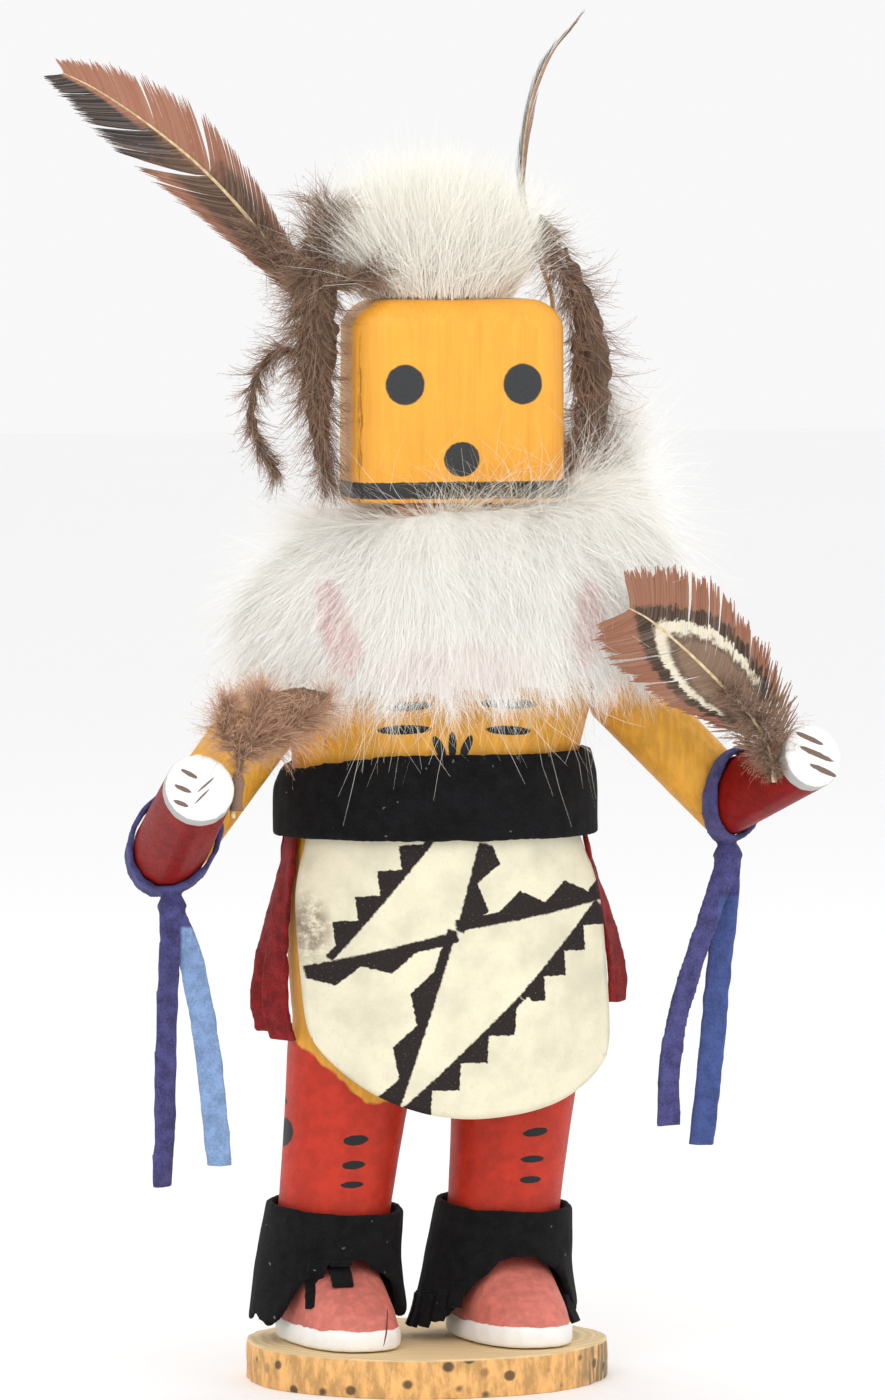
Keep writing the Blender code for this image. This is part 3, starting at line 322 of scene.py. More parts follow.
def new_material(name, roughness, **fixed):
    """A Principled material with its constants set on the shader, its wiring and Object coordinates."""
    if name in bpy.data.materials:
        bpy.data.materials.remove(bpy.data.materials[name])
    material = bpy.data.materials.new(name)
    material.use_nodes = True
    w = Wiring(material.node_tree)
    shader = material.node_tree.nodes["Principled BSDF"]
    w.feed(shader, Roughness=roughness, **fixed)
    place = w.add("ShaderNodeTexCoord").outputs["Object"]
    return material, w, shader, place


def spots(w, place, rows, ragged):
    """Mask of painted dabs; rows are centre X, Y, Z, half length, half height and turn, in mm and degrees."""
    return w.most([w.group(painted_spot(), Vector=place, Centre=mm(x, y, z), Size=mm(long, DAB_DEPTH, high),
                           Turn=math.radians(turn), Ragged=ragged)["Mask"]
                   for x, y, z, long, high, turn in rows])


def past_edge(w, place, direction, level, waver, scale, soft=0.1 * MM):
    """Mask of what lies past a ragged painted edge."""
    return w.group(ragged_edge(), Vector=place, Direction=direction, Level=level, Waver=waver, Scale=scale,
                   Soft=soft)["Mask"]


# Making meshes


def settle(name, bm, material, node, sharp=None):
    """Turns a bmesh into a finished piece that rides on the doll in a node's place."""
    mesh = bpy.data.meshes.new(name)
    bm.to_mesh(mesh)
    bm.free()
    mesh.materials.append(material)
    mesh.shade_smooth()
    if sharp is not None:
        mesh.set_sharp_from_angle(angle=math.radians(sharp))
    piece = bpy.data.objects.new(name, mesh)
    bpy.context.scene.collection.objects.link(piece)
    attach(piece, "root")
    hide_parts(node)
    return piece


def bevel(bm, edges, offset, segments=2):
    bmesh.ops.bevel(bm, geom=edges, offset=offset, offset_type="OFFSET", segments=segments, profile=0.5,
                    affect="EDGES", material=-1)


def verts_of(geom):
    return [item for item in geom if isinstance(item, bmesh.types.BMVert)]


def extrude_row(bm, edges):
    """Extrudes a row of edges, and gives the fresh vertices and the fresh row."""
    grown = bmesh.ops.extrude_edge_only(bm, edges=edges)["geom"]
    fresh = set(verts_of(grown))
    row = [item for item in grown if isinstance(item, bmesh.types.BMEdge)
           and item.verts[0] in fresh and item.verts[1] in fresh]
    return fresh, row


def merged_copy(node):
    bm = bmesh.new()
    bm.from_mesh(CAD[node].data)
    bmesh.ops.remove_doubles(bm, verts=bm.verts, dist=1e-6)
    return bm


def rounded_copy(node, voxel, smooths, shrink=0.0, relief=0.0, relief_scale=150.0):
    """A finer copy of a CAD solid, remeshed, smoothed and roughened as carving or cut leather is."""
    bm = merged_copy(node)
    mesh = bpy.data.meshes.new(f"fine_{node}")
    bm.to_mesh(mesh)
    bm.free()
    shell = bpy.data.objects.new(f"fine_{node}", mesh)
    bpy.context.scene.collection.objects.link(shell)
    step = shell.modifiers.new("remesh", "REMESH")
    step.mode = "VOXEL"
    step.voxel_size = voxel
    graph = bpy.context.evaluated_depsgraph_get()
    fine = bpy.data.meshes.new_from_object(shell.evaluated_get(graph))
    bpy.data.objects.remove(shell)
    bm = bmesh.new()
    bm.from_mesh(fine)
    for _ in range(smooths):
        bmesh.ops.smooth_vert(bm, verts=bm.verts, factor=0.5, use_axis_x=True, use_axis_y=True,
                              use_axis_z=True)
    bm.normal_update()
    if shrink or relief:
        for vert in bm.verts:
            wave = relief * noise.noise(vert.co * relief_scale)
            vert.co += vert.normal * (wave - shrink)
    return bm


def rod(path, radii, sides=8):
    """A round rod along a path, its ring extruded from point to point."""
    bm = bmesh.new()
    ring = bmesh.ops.create_circle(bm, segments=sides, radius=1.0, cap_ends=True)["verts"]
    frames = path_frames(path)
    shape = [vert.co.copy() for vert in ring]
    for vert, spot in zip(ring, shape):
        vert.co = path[0] + (frames[0][0] * spot.x + frames[0][1] * spot.y) * radii[0]
    face = next(iter(bm.faces))
    for point, radius, (side, up) in list(zip(path, radii, frames))[1:]:
        grown = bmesh.ops.extrude_discrete_faces(bm, faces=[face])
        face = grown["faces"][0]
        for vert, spot in zip(face.verts, shape):
            vert.co = point + (side * spot.x + up * spot.y) * radius
    bmesh.ops.remove_doubles(bm, verts=bm.verts, dist=1e-7)
    bmesh.ops.recalc_face_normals(bm, faces=bm.faces)
    return bm


def path_frames(path):
    """Two directions square to the path at each point, carried along without twisting."""
    frames = []
    across = None
    for i, _ in enumerate(path):
        ahead = (path[min(i + 1, len(path) - 1)] - path[max(i - 1, 0)]).normalized()
        if across is None:
            across = ahead.cross(FRONT if abs(ahead.dot(FRONT)) < 0.9 else UP).normalized()
        across = (across - ahead * across.dot(ahead)).normalized()
        frames.append((across, ahead.cross(across)))
    return frames


def smooth_path(points, count):
    """Points on a Catmull-Rom curve through the given points."""
    points = [Vector(point) for point in points]
    ends = [2 * points[0] - points[1], *points, 2 * points[-1] - points[-2]]
    path = []
    for i in range(count):
        spot = (len(points) - 1) * i / (count - 1)
        span = min(int(spot), len(points) - 2)
        t = spot - span
        a, b, c, d = ends[span:span + 4]
        path.append(0.5 * ((2 * b) + (c - a) * t + (2 * a - 5 * b + 4 * c - d) * t ** 2
                           + (3 * b - a - 3 * c + d) * t ** 3))
    return path


class Strands:
    """Hairs or barbs to be grown as ribbons: arrays of points, side directions, half widths and shading."""

    def __init__(self, points, sides, halves, along, across=None, tint=None):
        self.points = points
        self.sides = sides
        self.halves = halves
        self.along = along
        self.across = np.zeros(along.shape) if across is None else across
        self.tint = np.zeros(len(points)) if tint is None else tint

    @staticmethod
    def joined(parts):
        return Strands(*[np.concatenate([getattr(part, name) for part in parts])
                         for name in ("points", "sides", "halves", "along", "across", "tint")])


def grow(strands):
    """Grows every ribbon at once, one extrusion of all the end edges for each step."""
    bm = bmesh.new()
    number = bm.verts.layers.int.new("strand")
    along = bm.verts.layers.float.new("along")
    across = bm.verts.layers.float.new("across")
    tint = bm.verts.layers.float.new("tint")
    offset = strands.sides * strands.halves[..., None]
    left = (strands.points - offset).tolist()
    right = (strands.points + offset).tolist()
    edges = []
    for index in range(len(left)):
        pair = (bm.verts.new(left[index][0]), bm.verts.new(right[index][0]))
        for vert, code in zip(pair, (2 * index, 2 * index + 1)):
            vert[number] = code
            vert[tint] = strands.tint[index]
            vert[along] = strands.along[index, 0]
            vert[across] = strands.across[index, 0]
        edges.append(bm.edges.new(pair))
    for step in range(1, strands.points.shape[1]):
        fresh, edges = extrude_row(bm, edges)
        for vert in fresh:
            index, side = divmod(vert[number], 2)
            vert.co = (right if side else left)[index][step]
            vert[along] = strands.along[index, step]
            vert[across] = strands.across[index, step]
    return bm


def unit(vectors):
    return vectors / np.maximum(np.linalg.norm(vectors, axis=-1, keepdims=True), 1e-9)


def scatter(mesh, count, rng, keep):
    """Random points on a mesh, even by area times a share to keep, with their outward normals."""
    mesh.calc_loop_triangles()
    places = np.empty(len(mesh.vertices) * 3)
    mesh.vertices.foreach_get("co", places)
    corners = np.empty(len(mesh.loop_triangles) * 3, int)
    mesh.loop_triangles.foreach_get("vertices", corners)
    a, b, c = places.reshape(-1, 3)[corners.reshape(-1, 3)].transpose(1, 0, 2)
    cross = np.cross(b - a, c - a)
    area = np.linalg.norm(cross, axis=1) * keep((a + b + c) / 3, unit(cross))
    chosen = rng.choice(len(area), count, p=area / area.sum())
    u, v = rng.random(count), rng.random(count)
    flip = u + v > 1
    u[flip], v[flip] = 1 - u[flip], 1 - v[flip]
    points = a[chosen] + (b - a)[chosen] * u[:, None] + (c - a)[chosen] * v[:, None]
    return points, unit(cross[chosen])


def hair(roots, starts, lengths, rng, pull=(0.0, 0.0, -0.35), curl=0.16, steps=5, half=0.06, clumps=0,
         gather=0.5, facing=None, swerve=0.0):
    """Hairs that leave their roots in the start direction and bend by the pull, gathered into clumps."""
    count = len(roots)
    way = unit(starts)
    swerve = swerve + rng.normal(size=(count, 3)) * curl
    points = [roots]
    for _ in range(1, steps):
        way = unit(way + np.asarray(pull) / (steps - 1) + swerve / (steps - 1))
        points.append(points[-1] + way * (lengths / (steps - 1))[:, None])
    points = np.stack(points, 1)
    if clumps:
        guides = rng.choice(count, clumps, replace=False)
        gaps = ((roots[:, None, :] - roots[guides][None, :, :]) ** 2).sum(-1)
        near = guides[gaps.argmin(1)]
        share = np.linspace(0, 1, steps) ** 1.4 * gather
        share = share[None, :, None] * rng.uniform(0.3, 1.0, count)[:, None, None]
        shape = points[near] - points[near][:, :1]
        reach = (lengths / lengths[near])[:, None, None]
        guide = points[near][:, :1] + shape * reach
        points = points * (1 - share) + guide * share
    ahead = unit(points[:, -1] - points[:, 0])
    toward = unit(facing if facing is not None else rng.normal(size=(count, 3)))
    sides = unit(np.cross(ahead, toward + 0.35 * rng.normal(size=(count, 3))))
    sides = np.repeat(sides[:, None, :], steps, 1)
    taper = np.linspace(1.0, 0.12, steps) ** 0.8 * half * MM
    halves = taper[None, :] * rng.uniform(0.7, 1.3, count)[:, None]
    along = np.repeat(np.linspace(0, 1, steps)[None, :], count, 0)
    return Strands(points, sides, halves, along, tint=rng.random(count))


# Wood


class PaintSettings(bpy.types.PropertyGroup):
    face_yellow: pick_colour("Face yellow", "Bright yellow paint of the head", (0.90, 0.405, 0.034))
    body_ochre: pick_colour("Body ochre", "Darker yellow paint of torso and arms", (0.79, 0.385, 0.045))
    leg_red: pick_colour("Leg red", "Orange red paint of the legs", (0.51, 0.031, 0.012))
    hand_red: pick_colour("Forearm red", "Deep red paint of the forearms", (0.225, 0.008, 0.006))
    moccasin_rose: pick_colour("Moccasin rose", "Dusty red paint of the moccasins", (0.62, 0.17, 0.13))
    mark_black: pick_colour("Mark black", "Charcoal of the painted marks", (0.012, 0.013, 0.014))
    chalk_white: pick_colour("Chalk white", "White of hands and soles", (0.92, 0.91, 0.88))
    eye_size: length("Eye size", "Diameter of the painted eyes", 8.5 * MM)
    wood_top: pick_colour("Sawn face", "Pale sawn face of the branch slice", (0.82, 0.61, 0.33))
    wood_side: pick_colour("Slice side", "Orange tan side of the branch slice", (0.78, 0.43, 0.15))


def painted(name, colour, roughness, stretch, spread, relief, **fixed):
    """Brushed paint on carved wood, as material, wiring, shader, coordinates, base colour and normal."""
    material, w, shader, place = new_material(name, roughness, **fixed)
    strokes = w.group(brush_strokes(), Vector=place, Stretch=stretch)
    base = w.shades(w.ease(strokes["Tone"], 0.36, 0.64), colour, 1 - spread, 1 + spread)
    normal = w.bump(strokes["Relief"], relief, 0.25 * MM)
    w.feed(shader, Normal=normal,
           Roughness=w.ease(strokes["Specks"], 0.3, 0.7, roughness - 0.08, roughness + 0.1))
    return material, w, shader, place, base, normal


def head_material(colours):
    material, w, shader, place, base, normal = painted(
        "head_paint", colours.face_yellow, 0.42, stretch=(1500.0, 1500.0, 60.0), spread=0.07, relief=0.16)
    x, y, z = w.split(place)
    # Painted shade: darker towards the rounded upright edges, where the block turns away; and fine streaks
    # down the whole face
    edge_shade = w.ease(w.math("ABSOLUTE", w.minus(x, 5.6 * MM)), 16.0 * MM, 23.0 * MM)
    streaks = w.ease(w.streaks(place, (1100.0, 1100.0, 45.0), 4.0, 0.65), 0.46, 0.72)
    base = w.tinge(base, edge_shade, 0.45, (0.66, 0.27, 0.02))
    base = w.tinge(base, streaks, 0.22, (0.60, 0.24, 0.02))
    # The split in the wood, with chipped lips
    split_x, split_top = -16.8 * MM, 225.0 * MM
    off = w.math("ABSOLUTE", w.minus(w.plus(x, w.waver(2.6 * MM, place, 170.0, 3.0, 0.6)), split_x))
    front = w.product(w.fade(y, -12.0 * MM, -10.0 * MM), w.fade(z, split_top, split_top + 1.0 * MM))
    split = w.product(w.fade(off, 0.12 * MM, 0.3 * MM), front)
    chips = w.product(w.fade(off, 0.3 * MM, 0.85 * MM), front)
    base = w.tinge(base, chips, 0.5, (0.55, 0.22, 0.015))
    # Two eyes, the mouth, and the band along the lower edge
    radius = colours.eye_size / MM / 2
    round_marks = spots(w, place, [(-7.1, -15, 215.1, radius, radius * 1.03, 0),
                                   (18.4, -15, 215.2, radius, radius * 1.03, 0),
                                   (5.2, -15, 199.2, 3.9, 3.75, 0)], 0.10)
    band = w.product(past_edge(w, place, (0.006, 0.0, -1.0), -194.3 * MM, 0.9 * MM, 700.0),
                     past_edge(w, place, (0.0, 0.0, 1.0), 190.7 * MM, 0.5 * MM, 500.0))
    chalky = w.blend(w.noise(place, 1400.0, 3.0), rgba(colours.mark_black), rgba((0.035, 0.037, 0.04)))
    base = w.blend(w.math("MAXIMUM", round_marks, band), base, chalky)
    base = w.tinge(base, split, 0.93, (0.05, 0.018, 0.004))
    w.feed(shader, Base_Color=base, Normal=w.bump(w.minus(1.0, chips), 0.9, 0.7 * MM, normal))
    return material


def body_material(colours):
    material, w, shader, place, base, normal = painted(
        "body_paint", colours.body_ochre, 0.5, stretch=(700.0, 700.0, 60.0), spread=0.14, relief=0.18,
        Specular_IOR_Level=0.3)
    x, _, z = w.split(place)
    blush = spots(w, place, [(-23.0, -14, 164.5, 7.0, 9.5, 12), (38.0, -10, 164.0, 6.5, 9.0, -12)], 0.5)
    base = w.blend(blush, base, rgba((0.56, 0.10, 0.11)))
    # Red of the legs, which climbs on the outer sides
    climb = w.math("MULTIPLY_ADD", w.math("ABSOLUTE", w.minus(x, 2.0 * MM)), 0.92, 45.3 * MM)
    height = w.plus(z, w.waver(3.0 * MM, place, 260.0, 3.0))
    red = w.fade(w.minus(height, w.math("MAXIMUM", climb, 61.0 * MM)), -0.5 * MM, 0.5 * MM)
    mottled = w.ease(w.noise(place, 240.0, 4.0, 0.65), 0.36, 0.66)
    base = w.blend(red, base, w.shades(mottled, colours.leg_red, 0.86, 1.1))
    # Two pairs of ribs, the fan below them, three dashes on each knee, two dabs on the right thigh
    dashes = [(-7.9, -22, 146.8, 5.4, 1.05, 3), (14.4, -22, 147.1, 6.6, 1.1, -3),
              (-8.4, -22, 141.8, 5.6, 1.0, 2), (14.4, -22, 141.4, 5.2, 1.0, -4),
              (-0.9, -22, 137.9, 1.0, 2.8, 24), (1.9, -22, 138.4, 0.9, 3.0, 0),
              (4.9, -22, 138.0, 1.0, 2.8, -24),
              (-17.2, -10, 53.0, 2.8, 1.15, 4), (-17.6, -10, 47.6, 2.6, 0.95, 3),
              (-17.8, -10, 43.3, 2.5, 0.75, 2),
              (22.1, -10, 54.0, 2.9, 0.95, 6), (21.5, -10, 48.1, 2.7, 0.8, 0), (21.2, -10, 43.6, 2.5, 0.8, 0),
              (-32.0, 2, 61.0, 1.6, 2.4, 20), (-31.6, 1, 53.5, 2.0, 3.6, -15)]
    base = w.blend(spots(w, place, dashes, 0.32), base, rgba(colours.mark_black))
    wrinkle = w.streaks(place, (330.0, 330.0, 620.0), 5.0, 0.7)
    w.feed(shader, Base_Color=base, Normal=w.bump(wrinkle, 0.32, 0.5 * MM, normal))
    return material


def foot_material(colours):
    material, w, shader, place, base, _ = painted(
        "moccasin_paint", colours.moccasin_rose, 0.62, stretch=(500.0, 500.0, 500.0), spread=0.16,
        relief=0.25)
    sole = past_edge(w, place, (0.0, 0.0, -1.0), -13.2 * MM, 1.6 * MM, 180.0)
    scuffed = w.ease(w.noise(place, 500.0, 4.0, 0.7), 0.62, 0.74)
    base = w.tinge(base, scuffed, 0.35, (0.66, 0.30, 0.26))
    white = w.shades(w.noise(place, 420.0, 3.0), colours.chalk_white, 0.9, 1.05)
    split = spots(w, place, [(-12.2, -23, 14.0, 0.2, 3.8, -14)], 0.7)
    w.feed(shader, Base_Color=w.blend(split, w.blend(sole, base, white), rgba((0.12, 0.03, 0.025))))
    return material


def hand_material(name, colours, wrist, way, fingers):
    """Forearm paint with a light band and a white face at the hand, which carries the painted fingers."""
    material, w, shader, place, base, _ = painted(
        name, colours.hand_red, 0.5, stretch=(400.0, 400.0, 400.0), spread=0.2, relief=0.12,
        Specular_IOR_Level=0.1)
    level = wrist.dot(way)
    band = past_edge(w, place, way, level - 3.6 * MM, 0.5 * MM, 300.0)
    face = past_edge(w, place, way, level - 0.75 * MM, 0.05 * MM, 300.0)
    grey = w.blend(w.noise(place, 300.0), rgba((0.42, 0.42, 0.40)), rgba((0.56, 0.56, 0.54)))
    cracks = w.fade(w.cells(place, 330.0, feature="DISTANCE_TO_EDGE")[0], 0.012, 0.03)
    white = w.tinge(rgba(colours.chalk_white), cracks, 0.35, (0.55, 0.55, 0.52))
    base = w.blend(face, w.blend(band, base, grey), white)
    strokes = w.product(spots(w, place, fingers, 0.55), face)
    w.feed(shader, Base_Color=w.blend(strokes, base, rgba((0.20, 0.14, 0.115))))
    return material


def slice_material(colours):
    material, w, shader, place = new_material("branch_slice", 0.7)
    x, y, z = w.split(place)
    flat = w.add("ShaderNodeCombineXYZ", x, y, 0.0).outputs[0]
    radius = w.length(w.times(w.less(flat, (4.0 * MM, 3.0 * MM, 0.0)), (1.0, 1.12, 1.0)))
    radius = w.plus(radius, w.product(w.noise(flat, 60.0, 3.0), 5.0 * MM))
    rings = w.product(w.ease(w.math("SINE", w.product(radius, 2600.0)), -1.0, 1.0), 0.5)
    pores = w.noise(place, 1500.0, 3.0, 0.7)
    top = w.shades(w.math("MULTIPLY_ADD", pores, 0.5, rings), colours.wood_top, 1.12, 0.78)
    grain = w.streaks(place, (420.0, 420.0, 160.0), 4.0, 0.65)
    side = w.shades(w.ease(grain, 0.35, 0.65), colours.wood_side, 0.7, 1.2)
    knots = w.cells(w.times(place, (1.0, 1.0, 1.15)), 210.0)
    dark = w.product(w.fade(knots["Distance"], 0.20, 0.34), w.ease(w.split(knots["Color"])[1], 0.55, 0.6))
    side = w.tinge(side, dark, 0.85, (0.035, 0.022, 0.016))
    bark = w.ease(w.streaks(place, (600.0, 600.0, 60.0)), 0.42, 0.58)
    side = w.tinge(side, w.product(w.ease(x, 27.0 * MM, 34.0 * MM), bark), 0.8, (0.12, 0.115, 0.085))
    on_top = w.ease(z, 7.9 * MM, 8.35 * MM)
    crack = w.fade(w.math("ABSOLUTE", w.minus(radius, 35.5 * MM)), 0.15 * MM, 0.5 * MM)
    height = w.minus(w.mixture(grain, 0.6, pores, 0.4), w.product(crack, on_top))
    w.feed(shader, Base_Color=w.blend(on_top, side, top), Normal=w.bump(height, 0.6, 0.4 * MM))
    return material


class DOLL_OT_slice(bpy.types.Operator):
    """Saws the slice of branch that the doll stands on"""
    bl_idname = "doll.slice"
    bl_label = "Branch slice"

    def execute(self, context):
        low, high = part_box("base_slice")
        bm = bmesh.new()
        bmesh.ops.create_circle(bm, segments=144, radius=1.0, cap_ends=True)
        bmesh.ops.recalc_face_normals(bm, faces=bm.faces)
        disc = bmesh.ops.extrude_face_region(bm, geom=bm.faces[:])["geom"]
        bmesh.ops.translate(bm, verts=verts_of(disc), vec=UP)
        upright = [edge for edge in bm.edges if abs((edge.verts[0].co - edge.verts[1].co).z) > 0.5]
        bmesh.ops.subdivide_edges(bm, edges=upright, cuts=5)
        tree = BVHTree.FromBMesh(merged_copy("base_slice"))
        outside, chamfer, inset = 80.0 * MM, 0.6 * MM, 0.35 * MM
        for vert in bm.verts:
            way = Vector((vert.co.x, vert.co.y, 0.0)).normalized()
            height = low.z + (high.z - low.z) * vert.co.z
            inner = min(max(height, low.z + chamfer), high.z - chamfer)
            hit = tree.ray_cast(way * outside + UP * inner, -way)[0]
            flake = 0.5 * MM * noise.noise(Vector((way.x * 9.0, way.y * 9.0, vert.co.z * 1.3)))
            flake += 0.22 * MM * noise.noise(Vector((way.x * 34.0, way.y * 34.0, vert.co.z * 4.0)))
            vert.co = way * (math.hypot(hit.x, hit.y) - inset + flake) + UP * height
        bmesh.ops.recalc_face_normals(bm, faces=bm.faces)
        bevel(bm, [edge for edge in bm.edges if edge.calc_face_angle(0.0) > 1.0], inset)
        settle("branch_slice", bm, slice_material(context.scene.doll_paint), "base_slice", 40)
        return {"FINISHED"}


class DOLL_OT_head(bpy.types.Operator):
    """Rounds and paints the block of the head"""
    bl_idname = "doll.head"
    bl_label = "Head"

    def execute(self, context):
        low, high = HEAD_LOW, HEAD_HIGH
        bm = bmesh.new()
        bmesh.ops.create_cube(bm, size=1.0)
        bmesh.ops.scale(bm, verts=bm.verts, vec=high - low)
        bmesh.ops.translate(bm, verts=bm.verts, vec=(high + low) / 2)

        def rim(level):
            return [edge for edge in bm.edges
                    if all(abs(vert.co.z - level) < 0.01 * MM for vert in edge.verts)]

        upright = [edge for edge in bm.edges
                   if abs((edge.verts[0].co - edge.verts[1].co).normalized().z) > 0.9]
        bevel(bm, upright, 7.4 * MM, 10)
        bevel(bm, rim(high.z), 6.0 * MM, 8)
        bevel(bm, rim(low.z), 0.7 * MM)
        shoulder = 9.0 * MM
        for vert in bm.verts:
            rise = max(0.0, (vert.co.z - high.z + shoulder) / shoulder)
            vert.co.x -= (vert.co.x - (low.x + high.x) / 2) * 0.075 * rise ** 2
        settle("carved_head", bm, head_material(context.scene.doll_paint), "head", 50)
        return {"FINISHED"}


class DOLL_OT_body(bpy.types.Operator):
    """Carves and paints torso, legs, moccasins and arms"""
    bl_idname = "doll.body"
    bl_label = "Body and limbs"

    def execute(self, context):
        paint = context.scene.doll_paint
        skin = body_material(paint)
        settle("carved_body", rounded_copy("body", 1.4 * MM, 3), skin, "body")
        shoe = foot_material(paint)
        for side in SIDES:
            settle(f"moccasin_{side}", rounded_copy(f"foot_{side}", 0.7 * MM, 2), shoe,
                   f"foot_{side}")
            settle(f"upper_arm_rod_{side}", rounded_copy(f"upper_arm_{side}", 1.0 * MM, 2), skin,
                   f"upper_arm_{side}")
        # Wrist, way from the elbow to the hand, and a dab of paint for each line of the fingers
        hands = {
            "right": (mm(-55.9, -45.0, 131.9), mm(0.6, -38.0, 15.4), [
                (-58.0, -45, 134.6, 1.9, 0.5, -28), (-59.6, -45, 131.6, 1.9, 0.5, -24),
                (-60.2, -45, 128.6, 1.7, 0.5, -22), (-54.6, -45, 132.4, 2.4, 0.22, 38),
                (-55.6, -45, 130.0, 2.2, 0.2, 42)]),
            "left": (mm(77.0, -40.0, 136.7), mm(12.2, -34.0, 11.7), [
                (76.0, -40, 140.2, 3.6, 0.55, -24), (77.4, -40, 136.9, 4.2, 0.6, -24),
                (78.8, -40, 133.4, 3.6, 0.6, -24)]),
        }
        for side, (wrist, forearm, fingers) in hands.items():
            material = hand_material(f"forearm_paint_{side}", paint, wrist, forearm.normalized(), fingers)
            settle(f"forearm_rod_{side}", rounded_copy(f"forearm_{side}", 0.65 * MM, 1), material,
                   f"forearm_{side}")
        return {"FINISHED"}


# Suede and leather


class LeatherSettings(bpy.types.PropertyGroup):
    belt_black: pick_colour("Black suede", "Belt and anklets", (0.0065, 0.0065, 0.0075))
    sash_crimson: pick_colour("Crimson suede", "Strips at the hips", (0.22, 0.012, 0.013))
    tie_violet: pick_colour("Violet suede", "Ties at the elbows", (0.062, 0.060, 0.185))
    tie_blue: pick_colour("Light blue suede", "Faded end of a tie", (0.225, 0.345, 0.58))
    tie_dusk: pick_colour("Dusk blue suede", "Paler end of the other tie", (0.061, 0.092, 0.262))
    apron_cream: pick_colour("Cream leather", "Ground of the apron", (0.82, 0.77, 0.58))
    apron_ink: pick_colour("Apron ink", "Stepped lines on the apron", (0.022, 0.016, 0.015))
    leather: length("Leather", "Thickness of the apron", 1.1 * MM)


def suede_material(name, colour, lint, sheen, spread=0.45, second=None, borders=()):
    """Napped suede, of a second colour where it is past every border: a direction and a level along it."""
    material, w, shader, place = new_material(name, 0.92, Sheen_Weight=sheen, Sheen_Roughness=0.6,
                                              Specular_IOR_Level=0.12)
    nap = w.group(suede_nap(), Vector=place)
    tone = w.ease(nap["Tone"], 0.38, 0.62)
    base = w.shades(tone, colour, 1 - spread, 1 + spread)
    if second is not None:
        other = w.shades(tone, second, 1 - spread * 0.6, 1 + spread * 0.6)
        for direction, level in borders:
            past = past_edge(w, place, direction, level, 0.8 * MM, 200.0, soft=0.5 * MM)
            other = w.blend(past, base, other)
        base = other
    pale = [min(1.0, channel * 1.6 + 0.22) for channel in colour]
    w.feed(shader, Base_Color=w.tinge(base, nap["Lint"], lint, pale),
           Normal=w.bump(nap["Relief"], 0.55, 0.3 * MM))
    return material


def apron_material(colours):
    material, w, shader, place = new_material("apron_leather", 0.82, Specular_IOR_Level=0.25)
    # The piece's own map, in mm from the middle of the belt's lower edge
    flat = w.times(w.add("ShaderNodeUVMap", uv_map="cut").outputs[0], (100.0, 100.0, 0.0))
    rows = (
        # Straight edge's start and end, width, side, height and pitch of the teeth, and their run along it
        (-2.4, -0.1, -23.3, -25.8, 1.6, -1, 3.7, 7.1, 1.7, 30.0),
        (7.5, -0.2, 2.4, -19.2, 1.8, 1, 3.9, 10.3, -1.7, 18.8),
        (2.4, -19.2, 37.4, -13.6, 2.5, 1, 3.6, 10.7, 9.9, 40.0),
        (2.4, -19.2, -28.9, -27.2, 2.3, 1, 3.0, 11.6, 9.7, 33.0),
        (2.4, -19.2, -10.3, -58.5, 2.1, -1, 3.3, 12.05, 9.6, 46.0),
        (34.9, -13.7, 16.1, -33.3, 1.4, 1, 3.8, 7.1, -1.0, 26.0),
        (16.1, -33.3, -10.6, -58.3, 1.4, 1, 3.9, 8.4, 2.3, 36.5),
    )
    ink = w.most([w.group(stepped_line(), Vector=flat, Start=(x0, y0, 0.0), Turn=math.atan2(y1 - y0, x1 - x0),
                          Length=math.hypot(x1 - x0, y1 - y0), Band=band, Side=side, Tooth=tooth, Pitch=pitch,
                          From=start, To=stop)["Mask"]
                  for x0, y0, x1, y1, band, side, tooth, pitch, start, stop in rows])
    grain = w.noise(place, 1700.0, 4.0, 0.7)
    stain = w.noise(place, 90.0, 3.0, 0.6)
    cream = w.shades(w.ease(stain, 0.35, 0.7), colours.apron_cream, 1.04, 0.86)
    cream = w.blend(w.product(w.ease(grain, 0.5, 0.75), 0.25), cream, rgba(colours.apron_cream, 0.6))
    # A smudge near the doll's right edge
    reach = w.length(w.times(w.less(flat, (-27.5, -19.0, 0.0)), (0.2, 0.115, 0.0)))
    smudge = w.product(w.fade(reach, 0.3, 1.15), w.ease(w.noise(flat, 0.35, 4.0, 0.7), 0.34, 0.6))
    cream = w.tinge(cream, smudge, 0.75, (0.16, 0.085, 0.06))
    worn = w.ease(w.noise(flat, 2.4, 4.0, 0.75), 0.60, 0.76, 1.0, 0.45)
    w.feed(shader, Base_Color=w.blend(w.product(ink, worn), cream, rgba(colours.apron_ink)),
           Normal=w.bump(grain, 0.45, 0.25 * MM))
    return material


